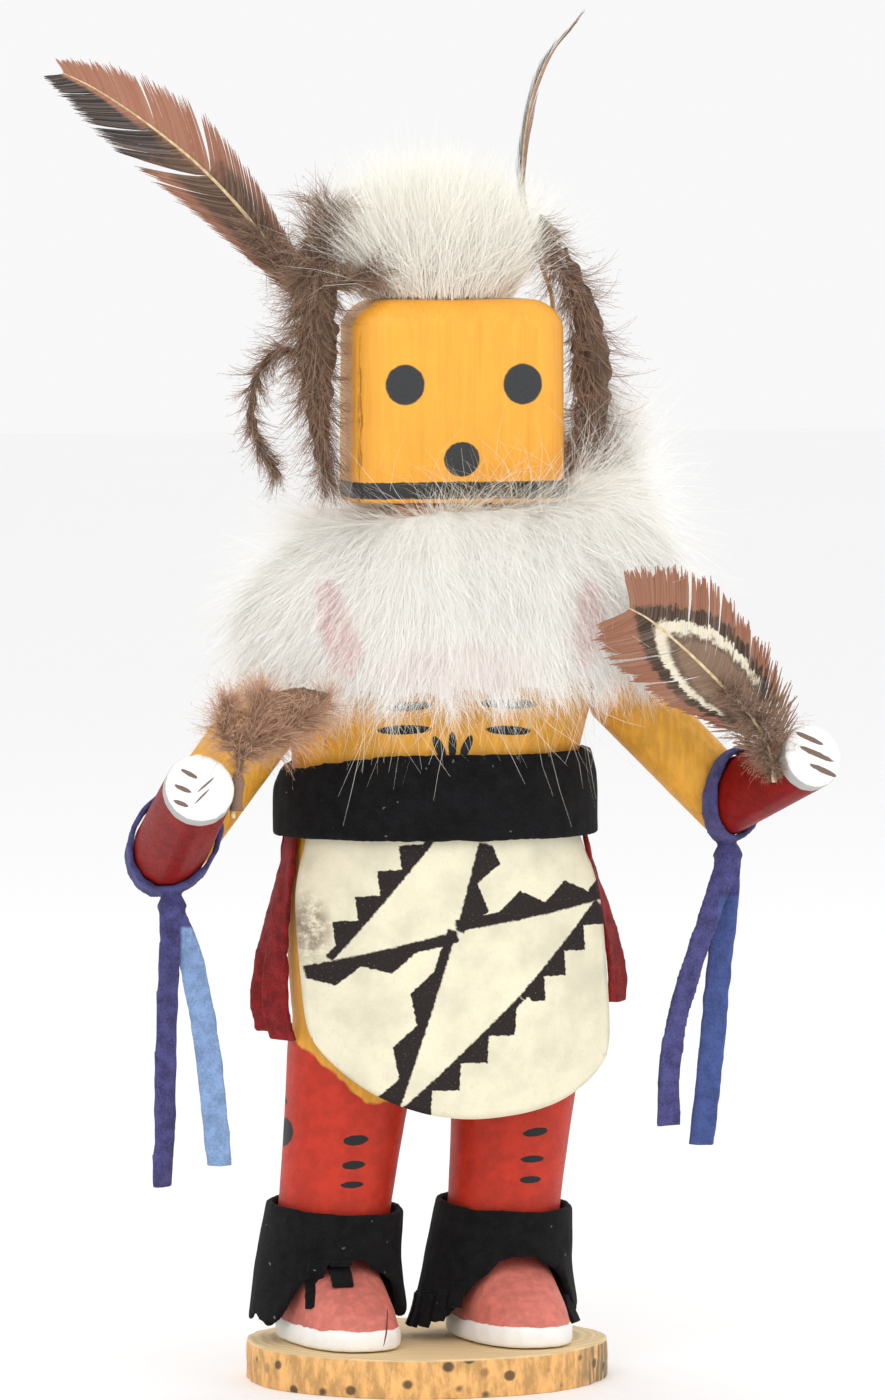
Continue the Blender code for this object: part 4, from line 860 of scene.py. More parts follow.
def strap(path, wide, width, seed):
    """A cut strip: an edge as wide as the strip, extruded along its path and given its thickness."""
    thickness, rough_cut, columns = 1.2 * MM, 0.5 * MM, 4
    bm = bmesh.new()
    column = bm.verts.layers.int.new("column")
    ends = [bm.verts.new(path[0] + wide * width * (k / columns - 0.5)) for k in range(columns + 1)]
    edges = [bm.edges.new(pair) for pair in zip(ends, ends[1:])]
    for k, vert in enumerate(ends):
        vert[column] = k
    for i in range(1, len(path)):
        fresh, edges = extrude_row(bm, edges)
        for vert in fresh:
            share = vert[column] / columns - 0.5
            rough = rough_cut * noise.noise(Vector((i * 0.6, share * 5.0, seed))) * (abs(share) > 0.4)
            vert.co = path[i] + wide * (width * share + math.copysign(rough, share))
    bmesh.ops.recalc_face_normals(bm, faces=bm.faces)
    bmesh.ops.solidify(bm, geom=bm.faces[:], thickness=thickness)
    bmesh.ops.recalc_face_normals(bm, faces=bm.faces)
    bm.normal_update()
    bevel(bm, [edge for edge in bm.edges if edge.calc_face_angle(0.0) > 1.1], thickness * 0.22)
    return bm


class DOLL_OT_belt(bpy.types.Operator):
    """Cuts the suede belt and the anklets"""
    bl_idname = "doll.belt"
    bl_label = "Belt and anklets"

    def execute(self, context):
        colours = context.scene.doll_leather
        suede = suede_material("black_suede_nap", colours.belt_black, lint=0.6, sheen=0.03)
        settle("suede_belt", rounded_copy("belt", 0.8 * MM, 1, relief=0.25 * MM), suede,
               "belt")
        for side in SIDES:
            settle(f"suede_anklet_{side}", rounded_copy(f"anklet_{side}", 0.65 * MM, 1, relief=0.3 * MM),
                   suede, f"anklet_{side}")
        # Tabs cut in the right cuff hang from its edge over the instep: top X and Z, lower X and Z, width
        trees = [BVHTree.FromBMesh(merged_copy(node)) for node in ("foot_right", "anklet_right")]
        tabs = ((-25.4, 27.5, -26.8, 17.6, 3.7), (-20.4, 27.5, -20.6, 21.6, 4.4))
        for number, (x0, z0, x1, z1, width) in enumerate(tabs):
            path = []
            for i in range(12):
                spot = mm(x0, -60.0, z0).lerp(mm(x1, -60.0, z1), i / 11)
                hits = [tree.ray_cast(spot, -FRONT)[0] for tree in trees]
                path.append(Vector((spot.x, min(hit.y for hit in hits if hit) - 0.3 * MM, spot.z)))
            path = [path[0]] + [(a + b * 2 + c) / 4 for a, b, c in zip(path, path[1:], path[2:])] + [path[-1]]
            bm = strap(path, Vector((1.0, 0.0, 0.0)), width * MM, number)
            settle(f"cuff_tab_{number}", bm, suede, "anklet_right")
        # Strips frayed out of the left cuff's lower edge: compass angle, upper and lower height, width
        ankle = mm(16.9, 3.4, 0.0)
        frays = ((-104, 18.0, 11.4, 2.2), (-92, 18.0, 11.0, 2.6), (-79, 18.0, 11.3, 2.3),
                 (-66, 18.5, 11.8, 2.8), (-53, 20.0, 13.6, 2.4), (-41, 22.0, 16.8, 2.6),
                 (58, 18.0, 12.2, 3.6))
        for number, (turn, high, low, width) in enumerate(frays):
            way = Vector((math.sin(math.radians(turn)), -math.cos(math.radians(turn)), 0.0))
            wall = 16.1 + 2.7 * max(0.0, math.cos(math.radians(turn + 80))) ** 2
            path = [ankle + (way * (wall + 2.0 * t ** 1.5) + UP * (high + (low - high) * t)) * MM
                    for t in (0.0, 0.2, 0.4, 0.6, 0.8, 1.0)]
            bm = strap(path, way.cross(UP), width * MM, number + 5)
            settle(f"cuff_fray_{number}", bm, suede, "anklet_left")
        return {"FINISHED"}


class DOLL_OT_strips(bpy.types.Operator):
    """Cuts the crimson strips at the hips and the violet ties at the elbows"""
    bl_idname = "doll.strips"
    bl_label = "Sashes and arm ties"

    def execute(self, context):
        colours = context.scene.doll_leather
        crimson = suede_material("crimson_suede_nap", colours.sash_crimson, lint=0.12, spread=0.4, sheen=0.08)
        for sash in ("sash_right_front", "sash_right_back", "sash_left"):
            settle(f"{sash}_strip", rounded_copy(sash, 0.45 * MM, 1, relief=0.3 * MM, relief_scale=300.0),
                   crimson, sash)
        faded = {"right": (colours.tie_blue, ((Vector((1.0, 0.0, 0.0)), -54.3 * MM), (-UP, -99.0 * MM))),
                 "left": (colours.tie_dusk, ((Vector((0.994, 0.0, -0.109)), 51.2 * MM), (-UP, -104.0 * MM)))}
        for side, (second, borders) in faded.items():
            violet = suede_material(f"violet_suede_nap_{side}", colours.tie_violet, lint=0.25, sheen=0.1,
                                    spread=0.4, second=second, borders=borders)
            tie = rounded_copy(f"arm_tie_{side}", 0.48 * MM, 1, relief=0.3 * MM, relief_scale=260.0)
            settle(f"elbow_tie_{side}", tie, violet, f"arm_tie_{side}")
        return {"FINISHED"}


class DOLL_OT_apron(bpy.types.Operator):
    """Hangs the painted leather apron from under the belt"""
    bl_idname = "doll.apron"
    bl_label = "Apron"

    def execute(self, context):
        colours = context.scene.doll_leather
        bm = merged_copy("apron")
        bm.normal_update()
        kept = 1.2 * colours.leather
        rest = [face for face in bm.faces
                if face.normal.y > -0.02 or min(edge.calc_length() for edge in face.edges) < kept]
        bmesh.ops.delete(bm, geom=rest, context="FACES")
        bmesh.ops.join_triangles(bm, faces=bm.faces, cmp_seam=False, cmp_sharp=False, cmp_uvs=False,
                                 cmp_vcols=False, cmp_materials=False, angle_face_threshold=1.0,
                                 angle_shape_threshold=1.6)
        bmesh.ops.subdivide_edges(bm, edges=bm.edges, cuts=3, smooth=1.0, use_grid_fill=True)
        # The scissors rounded the hem
        hem = {vert: [edge.other_vert(vert) for edge in vert.link_edges if edge.is_boundary]
               for vert in bm.verts if vert.is_boundary and vert.co.z < BELT_LOW.z - 6.0 * MM}
        for _ in range(14):
            moved = {vert: (vert.co * 2 + near[0].co + near[1].co) / 4
                     for vert, near in hem.items() if len(near) == 2}
            for vert, spot in moved.items():
                vert.co = spot
        cut = bm.loops.layers.uv.new("cut")
        for face in bm.faces:
            for loop in face.loops:
                spot = loop.vert.co
                loop[cut].uv = (spot.x * 10.0, (spot.z - BELT_LOW.z) * 10.0)
        for vert in bm.verts:
            vert.co.y += 0.25 * MM * noise.noise(vert.co * 90.0)
        piece = settle("apron_sheet", bm, apron_material(colours), "apron")
        wall = piece.modifiers.new("leather", "SOLIDIFY")
        wall.thickness = colours.leather
        wall.offset = -1.0
        wall.use_even_offset = True
        return {"FINISHED"}


# Fur


class FurSettings(bpy.types.PropertyGroup):
    crest_hairs: IntProperty(name="Crest hairs", description="Hairs of the crest on the head",
                             default=15000, min=100)
    ruff_hairs: IntProperty(name="Ruff hairs", description="Hairs of each layer of the ruff",
                            default=20000, min=100)
    crest_length: length("Crest length", "Length of the crest hairs", 28.5 * MM)
    ruff_length: length("Ruff length", "Length of the ruff hairs", 24.0 * MM)
    cream: pick_colour("Cream fur", "Tips of the hairs", (1.0, 0.985, 0.95))
    crest_cream: pick_colour("Crest fur", "Tips of the crest's hairs", (1.0, 0.975, 0.88))
    shade: pick_colour("Shaded fur", "Roots of the hairs", (0.93, 0.90, 0.82))


def fur_material(name, colours, tip, blush=False):
    material, w, shader, place = new_material(name, 0.6, Specular_IOR_Level=0.25, Sheen_Weight=0.15)
    tone = w.group(hair_tone(), Root=rgba(colours.shade), Tip=rgba(tip), Other=rgba((0.98, 0.97, 0.93)),
                   Variation=0.55, Start=0.0, End=0.6)
    base = tone["Colour"]
    if blush:
        # Dye rubbed off the shoulders' red patches: streaks over them, and a faint cast between them
        streaks = w.ease(w.streaks(place, (1100.0, 1100.0, 90.0), 3.0, 0.6), 0.40, 0.60)
        pink = w.product(streaks, spots(w, place, [
            (-24.5, -28, 165.0, 3.4, 9.5, 10), (-22.5, -28, 159.0, 3.4, 6.0, 0),
            (29.5, -28, 164.0, 3.6, 10.0, -8)], 1.6))
        faint = w.product(spots(w, place, [(2.0, -30, 155.0, 17.0, 6.0, 0)], 1.6), 0.22)
        deep = w.product(w.math("MAXIMUM", pink, faint), w.ease(w.attribute("along"), 0.0, 0.8, 0.9, 0.45))
        base = w.blend(deep, base, rgba((0.80, 0.36, 0.36)))
    w.feed(shader, Base_Color=base, Roughness=w.ease(tone["Grown"], 0.0, 1.0, 0.75, 0.5))
    return material


def wisp_material(name, colours):
    """Single hairs, which look yellower than the fur where wood shows behind them."""
    material, w, shader, _ = new_material(name, 0.5, Specular_IOR_Level=0.3)
    tone = w.group(hair_tone(), Root=rgba((0.78, 0.68, 0.45)), Tip=rgba(colours.cream),
                   Other=rgba((0.72, 0.60, 0.36)), Variation=0.8, Start=0.2, End=0.9)
    w.feed(shader, Base_Color=tone["Colour"])
    return material


def under_fur_material(name, colours):
    material, w, shader, place = new_material(name, 0.9, Sheen_Weight=0.2)
    streaks = w.streaks(place, (1500.0, 1500.0, 260.0), 4.0, 0.7)
    tone = w.blend(w.ease(streaks, 0.3, 0.7), rgba(colours.shade, 0.95), rgba(colours.cream))
    w.feed(shader, Base_Color=tone, Normal=w.bump(streaks, 0.8, 0.8 * MM))
    return material


class DOLL_OT_crest(bpy.types.Operator):
    """Grows the tuft of fur on the head"""
    bl_idname = "doll.crest"
    bl_label = "Fur crest"

    def execute(self, context):
        fur = context.scene.doll_fur
        rng = np.random.default_rng(11)
        foot = Vector(((HEAD_LOW.x + HEAD_HIGH.x) / 2 - 3.0 * MM, 0.0, HEAD_HIGH.z))
        # A low core, so that the hairs close over it from above too
        core = rounded_copy("fur_crest", 1.2 * MM, 4, shrink=2.4 * MM)
        bmesh.ops.scale(core, verts=core.verts, vec=(0.85, 0.85, 0.66), space=Matrix.Translation(-foot))
        settle("crest_underfur", core, under_fur_material("crest_underfur_tone", fur),
               "fur_crest")
        parts = []
        # The dense tuft, then thin loose hairs that stray from it
        for count, thick, stray, longer, clumps in ((fur.crest_hairs, 0.06, 0.15, 1.0, 160),
                                                    (fur.crest_hairs // 6, 0.045, 0.42, 1.06, 0)):
            turn = rng.uniform(0, math.tau, count)
            reach = np.sqrt(rng.random(count))
            radial = np.stack([np.cos(turn), np.sin(turn), np.zeros(count)], 1)
            roots = np.array(foot) + radial * reach[:, None] * np.array([16.4, 10.5, 0]) * MM
            roots[:, 2] += rng.uniform(-0.3, 5.0, count) * MM * (1 - 0.4 * reach)
            lean = reach ** 1.4 * rng.uniform(0.15, 0.66, count) * (1 - 0.35 * np.maximum(radial[:, 0], 0))
            starts = np.array([0, 0, 1.0]) + radial * lean[:, None] * np.array([1.0, 0.75, 0]) \
                + rng.normal(size=(count, 3)) * stray
            starts[:, 2] = np.maximum(starts[:, 2], 0.35)
            lengths = fur.crest_length * longer * rng.uniform(0.55, 1.12, count) * (1 - 0.10 * reach)
            lengths *= 1 + 0.3 * np.array([noise.noise(Vector(root) * 130.0) for root in roots])
            parts.append(hair(roots, starts, lengths, rng, pull=(0, 0, -0.10), curl=0.42, steps=4, half=thick,
                              clumps=clumps, gather=0.62, facing=radial + np.array([0, -0.3, 0.2])))
        settle("crest_fur", grow(Strands.joined(parts)), fur_material("crest_fur_tone", fur, fur.crest_cream),
               "fur_crest")
        return {"FINISHED"}


def ruff_layer(surface, count, rng, base_length, lift, loose, half=0.055, clumps=0, curl=0.3, trim=0.1):
    """Hairs combed outwards and down over the ruff and up beside the head; trim shortens them at the back."""
    middle = np.array([4.0, 0.0, 0.0]) * MM

    def outer(points, normals):
        radial = unit((points - middle) * np.array([1, 1, 0]))
        outward = (normals * radial).sum(1)
        high = points[:, 2] > 186 * MM
        open_side = (outward > -0.1) | (high & (normals[:, 2] > 0.2))
        return open_side * np.where(normals[:, 2] < -0.75, 0.25, 1.0)

    roots, normals = scatter(surface, count, rng, outer)
    radial = unit((roots - middle) * np.array([1, 1, 0]))
    height = (roots[:, 2] / MM - 150.0) / 45.0
    compass = np.arctan2(radial[:, 0], -radial[:, 1])
    wish = radial * 0.75 + np.array([0, 0, -1.0])
    rising = np.exp(-((compass - 1.75) / 0.55) ** 2) * np.clip((roots[:, 2] / MM - 176) / 14, 0, 1)
    rising += 0.7 * np.exp(-((compass + 1.6) / 0.5) ** 2) * np.clip((roots[:, 2] / MM - 180) / 12, 0, 1)
    wish = wish * (1 - rising[:, None]) + (radial * 0.55 + np.array([0, 0, 1.0])) * rising[:, None]
    comb = unit(wish - normals * (wish * normals).sum(1)[:, None])
    # The pelt parts into tufts that lie a little to one side or the other
    swirl = np.array([noise.noise(Vector(root) * 75.0) + 0.5 * noise.noise(Vector(root) * 190.0)
                      for root in roots])
    comb = comb + np.cross(normals, comb) * (0.8 * swirl)[:, None]
    starts = unit(comb) + normals * lift + rng.normal(size=(count, 3)) * loose
    front = np.exp(-(compass / 0.8) ** 2)
    back = np.exp(-((np.abs(compass) - math.pi) / 1.0) ** 2)
    lengths = base_length * rng.uniform(0.5, 1.1, count) * np.clip(0.55 + 0.6 * height, 0.5, 1.0)
    lengths *= (1 - 0.12 * front) * (1 - trim * back)
    return hair(roots - normals * 0.6 * MM, starts, lengths, rng, pull=np.array([0, 0, -0.26]), curl=curl,
                steps=4, half=half, clumps=clumps, gather=0.4, facing=normals)


def face_wisps(count, rng, base_length):
    """Stray hairs from the ruff's upper rim that cross the mouth and the head's lower corner."""
    x = rng.uniform(2.0, 31.0, count)
    front = np.interp(x, (2.0, 24.0, 31.0), (-18.5, -17.5, -9.0))
    roots = np.stack([x, front, rng.uniform(184.0, 190.0, count)], 1) * MM
    starts = np.stack([rng.normal(-0.25, 0.5, count), rng.normal(-0.12, 0.12, count),
                       rng.uniform(0.5, 1.3, count)], 1)
    lengths = base_length * rng.uniform(0.35, 0.85, count)
    return hair(roots, starts, lengths, rng, pull=np.array([-0.3, 0.0, -0.3]), curl=0.7, half=0.045)


def belly_wisps(count, rng, base_length):
    """Long thin hairs that hang from the ruff's lower rim and cross over the belly and the belt."""
    x = rng.uniform(-25.0, 33.0, count)
    roots = np.stack([x, -29.0 + 0.012 * (x - 4.0) ** 2, rng.uniform(149.0, 159.0, count)], 1) * MM
    starts = np.stack([rng.normal(0.0, 0.85, count), rng.normal(-0.1, 0.08, count), np.full(count, -1.0)], 1)
    lengths = base_length * rng.uniform(0.3, 1.0, count)
    lengths *= rng.choice([0.8, 1.0, 1.45], count, p=[0.5, 0.4, 0.1])
    return hair(roots, starts, lengths, rng, pull=np.array([0.0, 0.05, -0.3]), curl=0.55, half=0.06)


class DOLL_OT_ruff(bpy.types.Operator):
    """Grows the fur ruff round the neck and over the shoulders"""
    bl_idname = "doll.ruff"
    bl_label = "Fur ruff"

    def execute(self, context):
        fur = context.scene.doll_fur
        rng = np.random.default_rng(23)
        under = settle("ruff_underfur", rounded_copy("fur_ruff", 2.0 * MM, 2, shrink=1.6 * MM),
                       under_fur_material("ruff_underfur_tone", fur), "fur_ruff")
        tone = fur_material("ruff_fur_tone", fur, fur.cream, blush=True)
        count, long = fur.ruff_hairs, fur.ruff_length
        inner = ruff_layer(under.data, count, rng, long * 0.78, 0.2, 0.14, clumps=count // 70)
        outer = ruff_layer(under.data, count, rng, long * 0.95, 0.34, 0.2, clumps=count // 55)
        guard = ruff_layer(under.data, count // 6, rng, long * 1.25, 0.5, 0.42, half=0.042, curl=0.5,
                           trim=0.42)
        wisps = face_wisps(count // 120, rng, long)
        settle("ruff_fur_inner", grow(inner), tone, "fur_ruff")
        settle("ruff_fur_outer", grow(outer), tone, "fur_ruff")
        settle("ruff_guard_hairs", grow(guard), tone, "fur_ruff")
        stray = Strands.joined([wisps, belly_wisps(count // 60, rng, long)])
        settle("ruff_stray_hairs", grow(stray), wisp_material("stray_hair_tone", fur),
               "fur_ruff")
        return {"FINISHED"}


# Feathers


class FeatherSettings(bpy.types.PropertyGroup):
    barbs: IntProperty(name="Barbs", description="Barbs on each side of a vane", default=300, min=20)
    plume_barbs: IntProperty(name="Plume barbs", description="Barbs of a down plume", default=2300, min=20)
    rust: pick_colour("Rust", "Rust vane", (0.275, 0.108, 0.06))
    dark: pick_colour("Dark brown", "Dark part of the vanes", (0.075, 0.038, 0.022))
    black: pick_colour("Feather black", "Black tip of a vane", (0.016, 0.016, 0.022))
    cream: pick_colour("Feather cream", "Pale marks and quills", (0.80, 0.74, 0.58))
    taupe: pick_colour("Taupe", "Soft brown of the down", (0.235, 0.145, 0.095))


def feather_material(name, colours, pattern):
    """Vane colours painted from each barb's place along and across the feather."""
    material, w, shader, place = new_material(name, 0.5, Specular_IOR_Level=0.3, Sheen_Weight=0.15)
    along, across, tint = (w.attribute(label) for label in ("along", "across", "tint"))
    waver = w.waver(0.22, place, 420.0, 3.0, 0.7)
    base = pattern(w, w.plus(along, w.product(waver, 0.5)), w.plus(across, waver), colours)
    w.feed(shader, Base_Color=w.tinge(base, tint, 0.3, (0.5, 0.35, 0.25)),
           Roughness=w.ease(tint, 0.0, 1.0, 0.42, 0.62))
    return material


def long_feather(w, along, across, colours):
    """Rust vane with a dark middle, a black lower tip and brown fluff at its base."""
    lower = w.fade(across, -0.12, 0.02)
    wide = w.math("ABSOLUTE", across)
    base = w.blend(w.ease(along, 0.35, 0.8), rgba(colours.rust, 0.9), rgba((0.37, 0.15, 0.088)))
    dark_up = w.product(w.fade(wide, 0.45, 0.75), w.fade(along, 0.50, 0.60))
    dark_low = w.product(w.fade(wide, 0.5, 0.72), w.fade(along, 0.70, 0.86))
    dark = w.add("ShaderNodeMix", lower, None, dark_up, dark_low, data_type="FLOAT").outputs[0]
    base = w.blend(dark, base, rgba(colours.dark, 1.1))
    black = w.product(w.product(lower, w.ease(along, 0.62, 0.72)), w.ease(wide, 0.12, 0.3))
    base = w.blend(black, base, rgba(colours.black))
    return w.blend(w.fade(along, 0.12, 0.30), base, rgba(colours.taupe))


def window_feather(w, along, across, colours):
    """Rust outer band, dark ring, cream horseshoe and a taupe middle."""
    x = w.math("DIVIDE", w.minus(along, 0.50), 0.335)
    y = w.math("DIVIDE", across, 0.52)
    squares = [w.math("POWER", w.math("ABSOLUTE", part), 2.0) for part in (x, y)]
    ring = w.math("SQRT", w.plus(*squares))
    base = w.blend(w.ease(ring, 1.34, 1.46), rgba(colours.dark, 0.55), rgba(colours.rust, 1.05))
    base = w.blend(w.fade(ring, 0.80, 0.88), base, rgba(colours.taupe, 0.92))
    band = w.product(w.product(w.ease(ring, 0.80, 0.86), w.fade(ring, 1.05, 1.12)), w.ease(along, 0.36, 0.42))
    base = w.blend(band, base, rgba(colours.cream))
    specks = w.product(w.ease(ring, 0.66, 0.76), w.fade(ring, 0.84, 0.92))
    base = w.blend(w.product(specks, 0.5), base, rgba(colours.dark, 0.5))
    return w.blend(w.fade(along, 0.26, 0.38), base, rgba(colours.taupe, 1.15))


def edge_feather(w, along, across, colours):
    """Rust vane, dark on one side, with a black rim at its tip."""
    wide = w.math("ABSOLUTE", across)
    base = w.blend(w.ease(along, 0.3, 0.85), rgba(colours.rust, 0.95), rgba((0.38, 0.17, 0.08)))
    base = w.blend(w.fade(across, -0.5, -0.2), base, rgba(colours.dark, 0.6))
    base = w.blend(w.product(w.ease(along, 0.8, 0.92), w.ease(wide, 0.3, 0.6)), base, rgba(colours.black))
    return w.blend(w.fade(along, 0.12, 0.25), base, rgba(colours.taupe))


def down_material(name, colours, share):
    material, w, shader, _ = new_material(name, 0.8, Sheen_Weight=0.25, Specular_IOR_Level=0.2)
    # The brown runs from a dark root to a light tip: painted shade deep in the down and painted highlight on
    # the tips
    tone = w.group(hair_tone(), Root=rgba(colours.taupe, 0.62 * share), Tip=rgba(colours.taupe, 1.25 * share),
                   Other=rgba((0.27, 0.165, 0.105), share), Variation=0.5, Start=0.1, End=0.9)
    w.feed(shader, Base_Color=tone["Colour"], Roughness=w.ease(tone["Grown"], 0.0, 1.0, 0.9, 0.7))
    return material


def quill_material(name):
    material, w, shader, place = new_material(name, 0.35, Specular_IOR_Level=0.5)
    tone = w.ease(w.streaks(place, (900.0, 900.0, 900.0)), 0.3, 0.7)
    w.feed(shader, Base_Color=w.blend(tone, rgba((0.55, 0.38, 0.18)), rgba((0.78, 0.64, 0.40))))
    return material


def value_along(values, shares):
    return np.interp(shares, np.linspace(0, 1, len(values)), values)


def vane(points, facing, left, right, count, rng, splits, slant, start, fluff=0.22, spread=0.0):
    """Barbs of both sides of a feather, tiled along its quill and parted at the splits.

    left and right are the barbs' reach in mm from the quill's foot to its tip, and a split is its place and
    its width. slant is how far a barb leans along the quill, start where the vane begins, fluff where its
    downy part ends, and spread how much wider a barb gets towards its end.
    """
    steps, camber, cover = 6, 0.12, 1.6
    path = np.array([tuple(point) for point in smooth_path(points, 160)])
    run = np.concatenate([[0], np.cumsum(np.linalg.norm(np.diff(path, axis=0), axis=1))])
    total = run[-1]

    def on_quill(at):
        return np.stack([np.interp(at * total, run, path[:, k]) for k in range(3)], 1)

    parts = []
    for side, halves in ((-1.0, left), (1.0, right)):
        share = np.sort(start + (1 - start) * (np.arange(count) + rng.uniform(-0.3, 0.3, count)) / count)
        share = np.clip(share, 0.0, 0.995)
        spot = on_quill(share)
        ahead = unit(on_quill(np.minimum(share + 0.01, 1)) - on_quill(share - 0.01))
        toward = np.asarray(facing)[None, :]
        face = unit(toward - ahead * (toward * ahead).sum(1)[:, None])
        out = np.cross(ahead, face) * side
        reach = np.maximum(value_along(halves, share), 0.3) * MM
        bend = np.full(count, slant) + rng.normal(size=count) * 0.02
        bend += 0.06 * np.sin(share * 61.0 + side) * np.sin(share * 23.0)
        reach *= 1 + 0.05 * rng.normal(size=count)
        for place, wide in splits:
            gap = share - place
            bend += np.where(gap > 0, 1, -1) * wide * np.exp(-np.abs(gap) / 0.035)
        downy = np.clip((fluff - share) / max(fluff, 1e-3), 0, 1)
        barb = []
        ray = np.linspace(0, 1, steps)
        wild = rng.normal(size=(count, 3)) * 0.4
        for t in ray:
            move = out * (reach * t)[:, None] + ahead * (reach * bend * (t ** 1.25))[:, None]
            move -= face * (reach * camber * t ** 2)[:, None]
            move += (wild * (reach * downy * t ** 1.5)[:, None])
            barb.append(spot + move)
        barb = np.stack(barb, 1)
        tangent = unit(np.gradient(barb, axis=1))
        along = share[:, None] + (reach * bend)[:, None] * ray[None, :] ** 1.25 / total
        across = side * np.repeat(ray[None, :], count, 0)
        spacing = total * (1 - start) / count
        leaning = np.abs((tangent * out[:, None, :]).sum(-1))
        halves_out = 0.5 * cover * spacing * np.maximum(leaning, 0.3) * (1 - 0.6 * downy)[:, None]
        halves_out *= 1 + spread * ray[None, :] ** 1.5
        halves_out[:, -1] *= 0.25
        flat = np.cross(np.repeat(face[:, None, :], steps, 1), tangent)
        sides = unit(flat + face[:, None, :] * rng.normal(size=(count, 1, 1)) * 0.16)
        parts.append(Strands(barb, sides, halves_out, np.clip(along, 0, 1.2), across, rng.random(count) ** 2))
    return Strands.joined(parts)


def plume(points, radii, count, rng, forward=1.3, curl=0.9, drift=(0.0, 0.0, 0.0)):
    """Soft barbs in tufts all round a down plume's quill; the barbs of one tuft bend alike."""
    each = 9
    path = np.array([tuple(point) for point in smooth_path(points, 120)])
    tufts = count // each
    chosen = np.repeat(np.arange(tufts), each)
    share = np.clip(rng.random(tufts)[chosen] + rng.normal(size=len(chosen)) * 0.012, 0, 1)
    index = share * (len(path) - 1)
    spots_at = np.arange(len(path))

    def on_path(at):
        return np.stack([np.interp(np.clip(at, 0, len(path) - 1), spots_at, path[:, k]) for k in range(3)], 1)

    ahead = unit(on_path(index + 1.5) - on_path(index - 1.5))
    around = rng.normal(size=(tufts, 3))[chosen] + rng.normal(size=(len(chosen), 3)) * 0.22
    around = unit(around - ahead * (around * ahead).sum(1)[:, None])
    starts = around + ahead * forward + np.asarray(drift)
    lengths = value_along(radii, share) * MM * rng.uniform(0.9, 1.7, tufts)[chosen]
    lengths *= rng.uniform(0.6, 1.1, len(chosen))
    bends = rng.normal(size=(tufts, 3))[chosen] * curl
    return hair(on_path(index), starts, lengths, rng, pull=(0, 0, -0.35), curl=0.4, steps=6, half=0.085,
                swerve=bends)


def barbules(barbs, each, rng):
    """The finest fibres, up to 1.2 mm long, set along the barbs of a plume."""
    long = 1.2 * MM
    count, steps = barbs.points.shape[:2]
    t = rng.uniform(0.1, 0.98, (count, each)) * (steps - 1)
    low = np.minimum(t.astype(int), steps - 2)
    rows = np.arange(count)[:, None]
    before, after = barbs.points[rows, low], barbs.points[rows, low + 1]
    start = before + (after - before) * (t - low)[..., None]
    ahead = unit(after - before)
    way = unit(rng.normal(size=(count, each, 3)) * 0.9 + ahead * 1.1)
    start, way = start.reshape(-1, 3), way.reshape(-1, 3)
    ends = start + way * (rng.uniform(0.5, 1.0, len(start)) * long)[:, None]
    points = np.stack([start, ends], 1)
    side = unit(np.cross(way, rng.normal(size=way.shape)))
    sides = np.repeat(side[:, None, :], 2, 1)
    halves = np.repeat(np.array([[0.032, 0.012]]) * MM, len(start), 0)
    along = np.repeat((t / (steps - 1)).reshape(-1, 1), 2, 1)
    return Strands(points, sides, halves, along, tint=rng.random(len(start)))


def settle_plume(name, barbs, each, rng, material, node):
    settle(name, grow(barbs), material, node)
    settle(f"{name}_fuzz", grow(barbules(barbs, each, rng)), material, node)


def settle_quill(name, points, radius, tip, material, node):
    count = 40
    path = smooth_path(points, count)
    radii = [(radius + (tip - radius) * i / (count - 1)) * MM for i in range(count)]
    settle(name, rod(path, radii), material, node, 60)


class DOLL_OT_head_feathers(bpy.types.Operator):
    """Sets the two long feathers at the sides of the head"""
    bl_idname = "doll.head_feathers"
    bl_label = "Head feathers"

    def execute(self, context):
        colours = context.scene.doll_feathers
        rng = np.random.default_rng(31)
        quill = quill_material("quill_head")
        right = route(HEAD_SIDE_RIGHT, (
            (-0.7, 6.6, -12), (-4.6, 6.4, -4), (-9.0, 6.2, 3.2), (-18.8, 6.2, 16), (-29.8, 6.2, 27.8),
            (-41.6, 6.2, 37.4), (-52.4, 6.2, 44.6), (-60.0, 6.2, 48.4)))
        strands = vane(right, FRONT, (0, 3.0, 6.4, 8.6, 9.6, 8.8, 7.2, 5.0, 2.4),
                       (0, 2.0, 4.4, 6.4, 8.0, 8.0, 6.6, 4.4, 1.8), colours.barbs, rng,
                       ((0.34, 0.05), (0.55, 0.2), (0.73, 0.1)), slant=1.5, start=0.1, spread=0.5)
        tone = feather_material("long_feather_tone", colours, long_feather)
        settle("long_feather_vane", grow(strands), tone, "feather_head_right")
        settle_quill("long_feather_quill", right, 0.62, 0.12, quill, "feather_head_right")
        left = route(HEAD_SIDE_LEFT, (
            (0.3, 9, -9), (0.3, 9, 0), (-2.4, 9.2, 8), (-5.4, 9.4, 18), (-6.0, 9.6, 27.6),
            (-4.6, 9.6, 40.4), (-0.8, 9.4, 51.2), (6.4, 9.0, 61.0)))
        strands = vane(left, Vector((-1.0, 0.02, 0.0)), (0, 0, 3, 6.2, 7.0, 6.2, 4.8, 2.8, 1.2),
                       (0, 0, 3, 6.0, 7.0, 6.2, 4.8, 2.6, 1.0), colours.barbs, rng,
                       ((0.35, 0.12), (0.62, 0.14)), slant=1.7, start=0.16)
        tone = feather_material("edge_feather_tone", colours, edge_feather)
        settle("edge_feather_vane", grow(strands), tone, "feather_head_left")
        settle_quill("edge_feather_quill", left, 0.6, 0.12, quill, "feather_head_left")
        return {"FINISHED"}


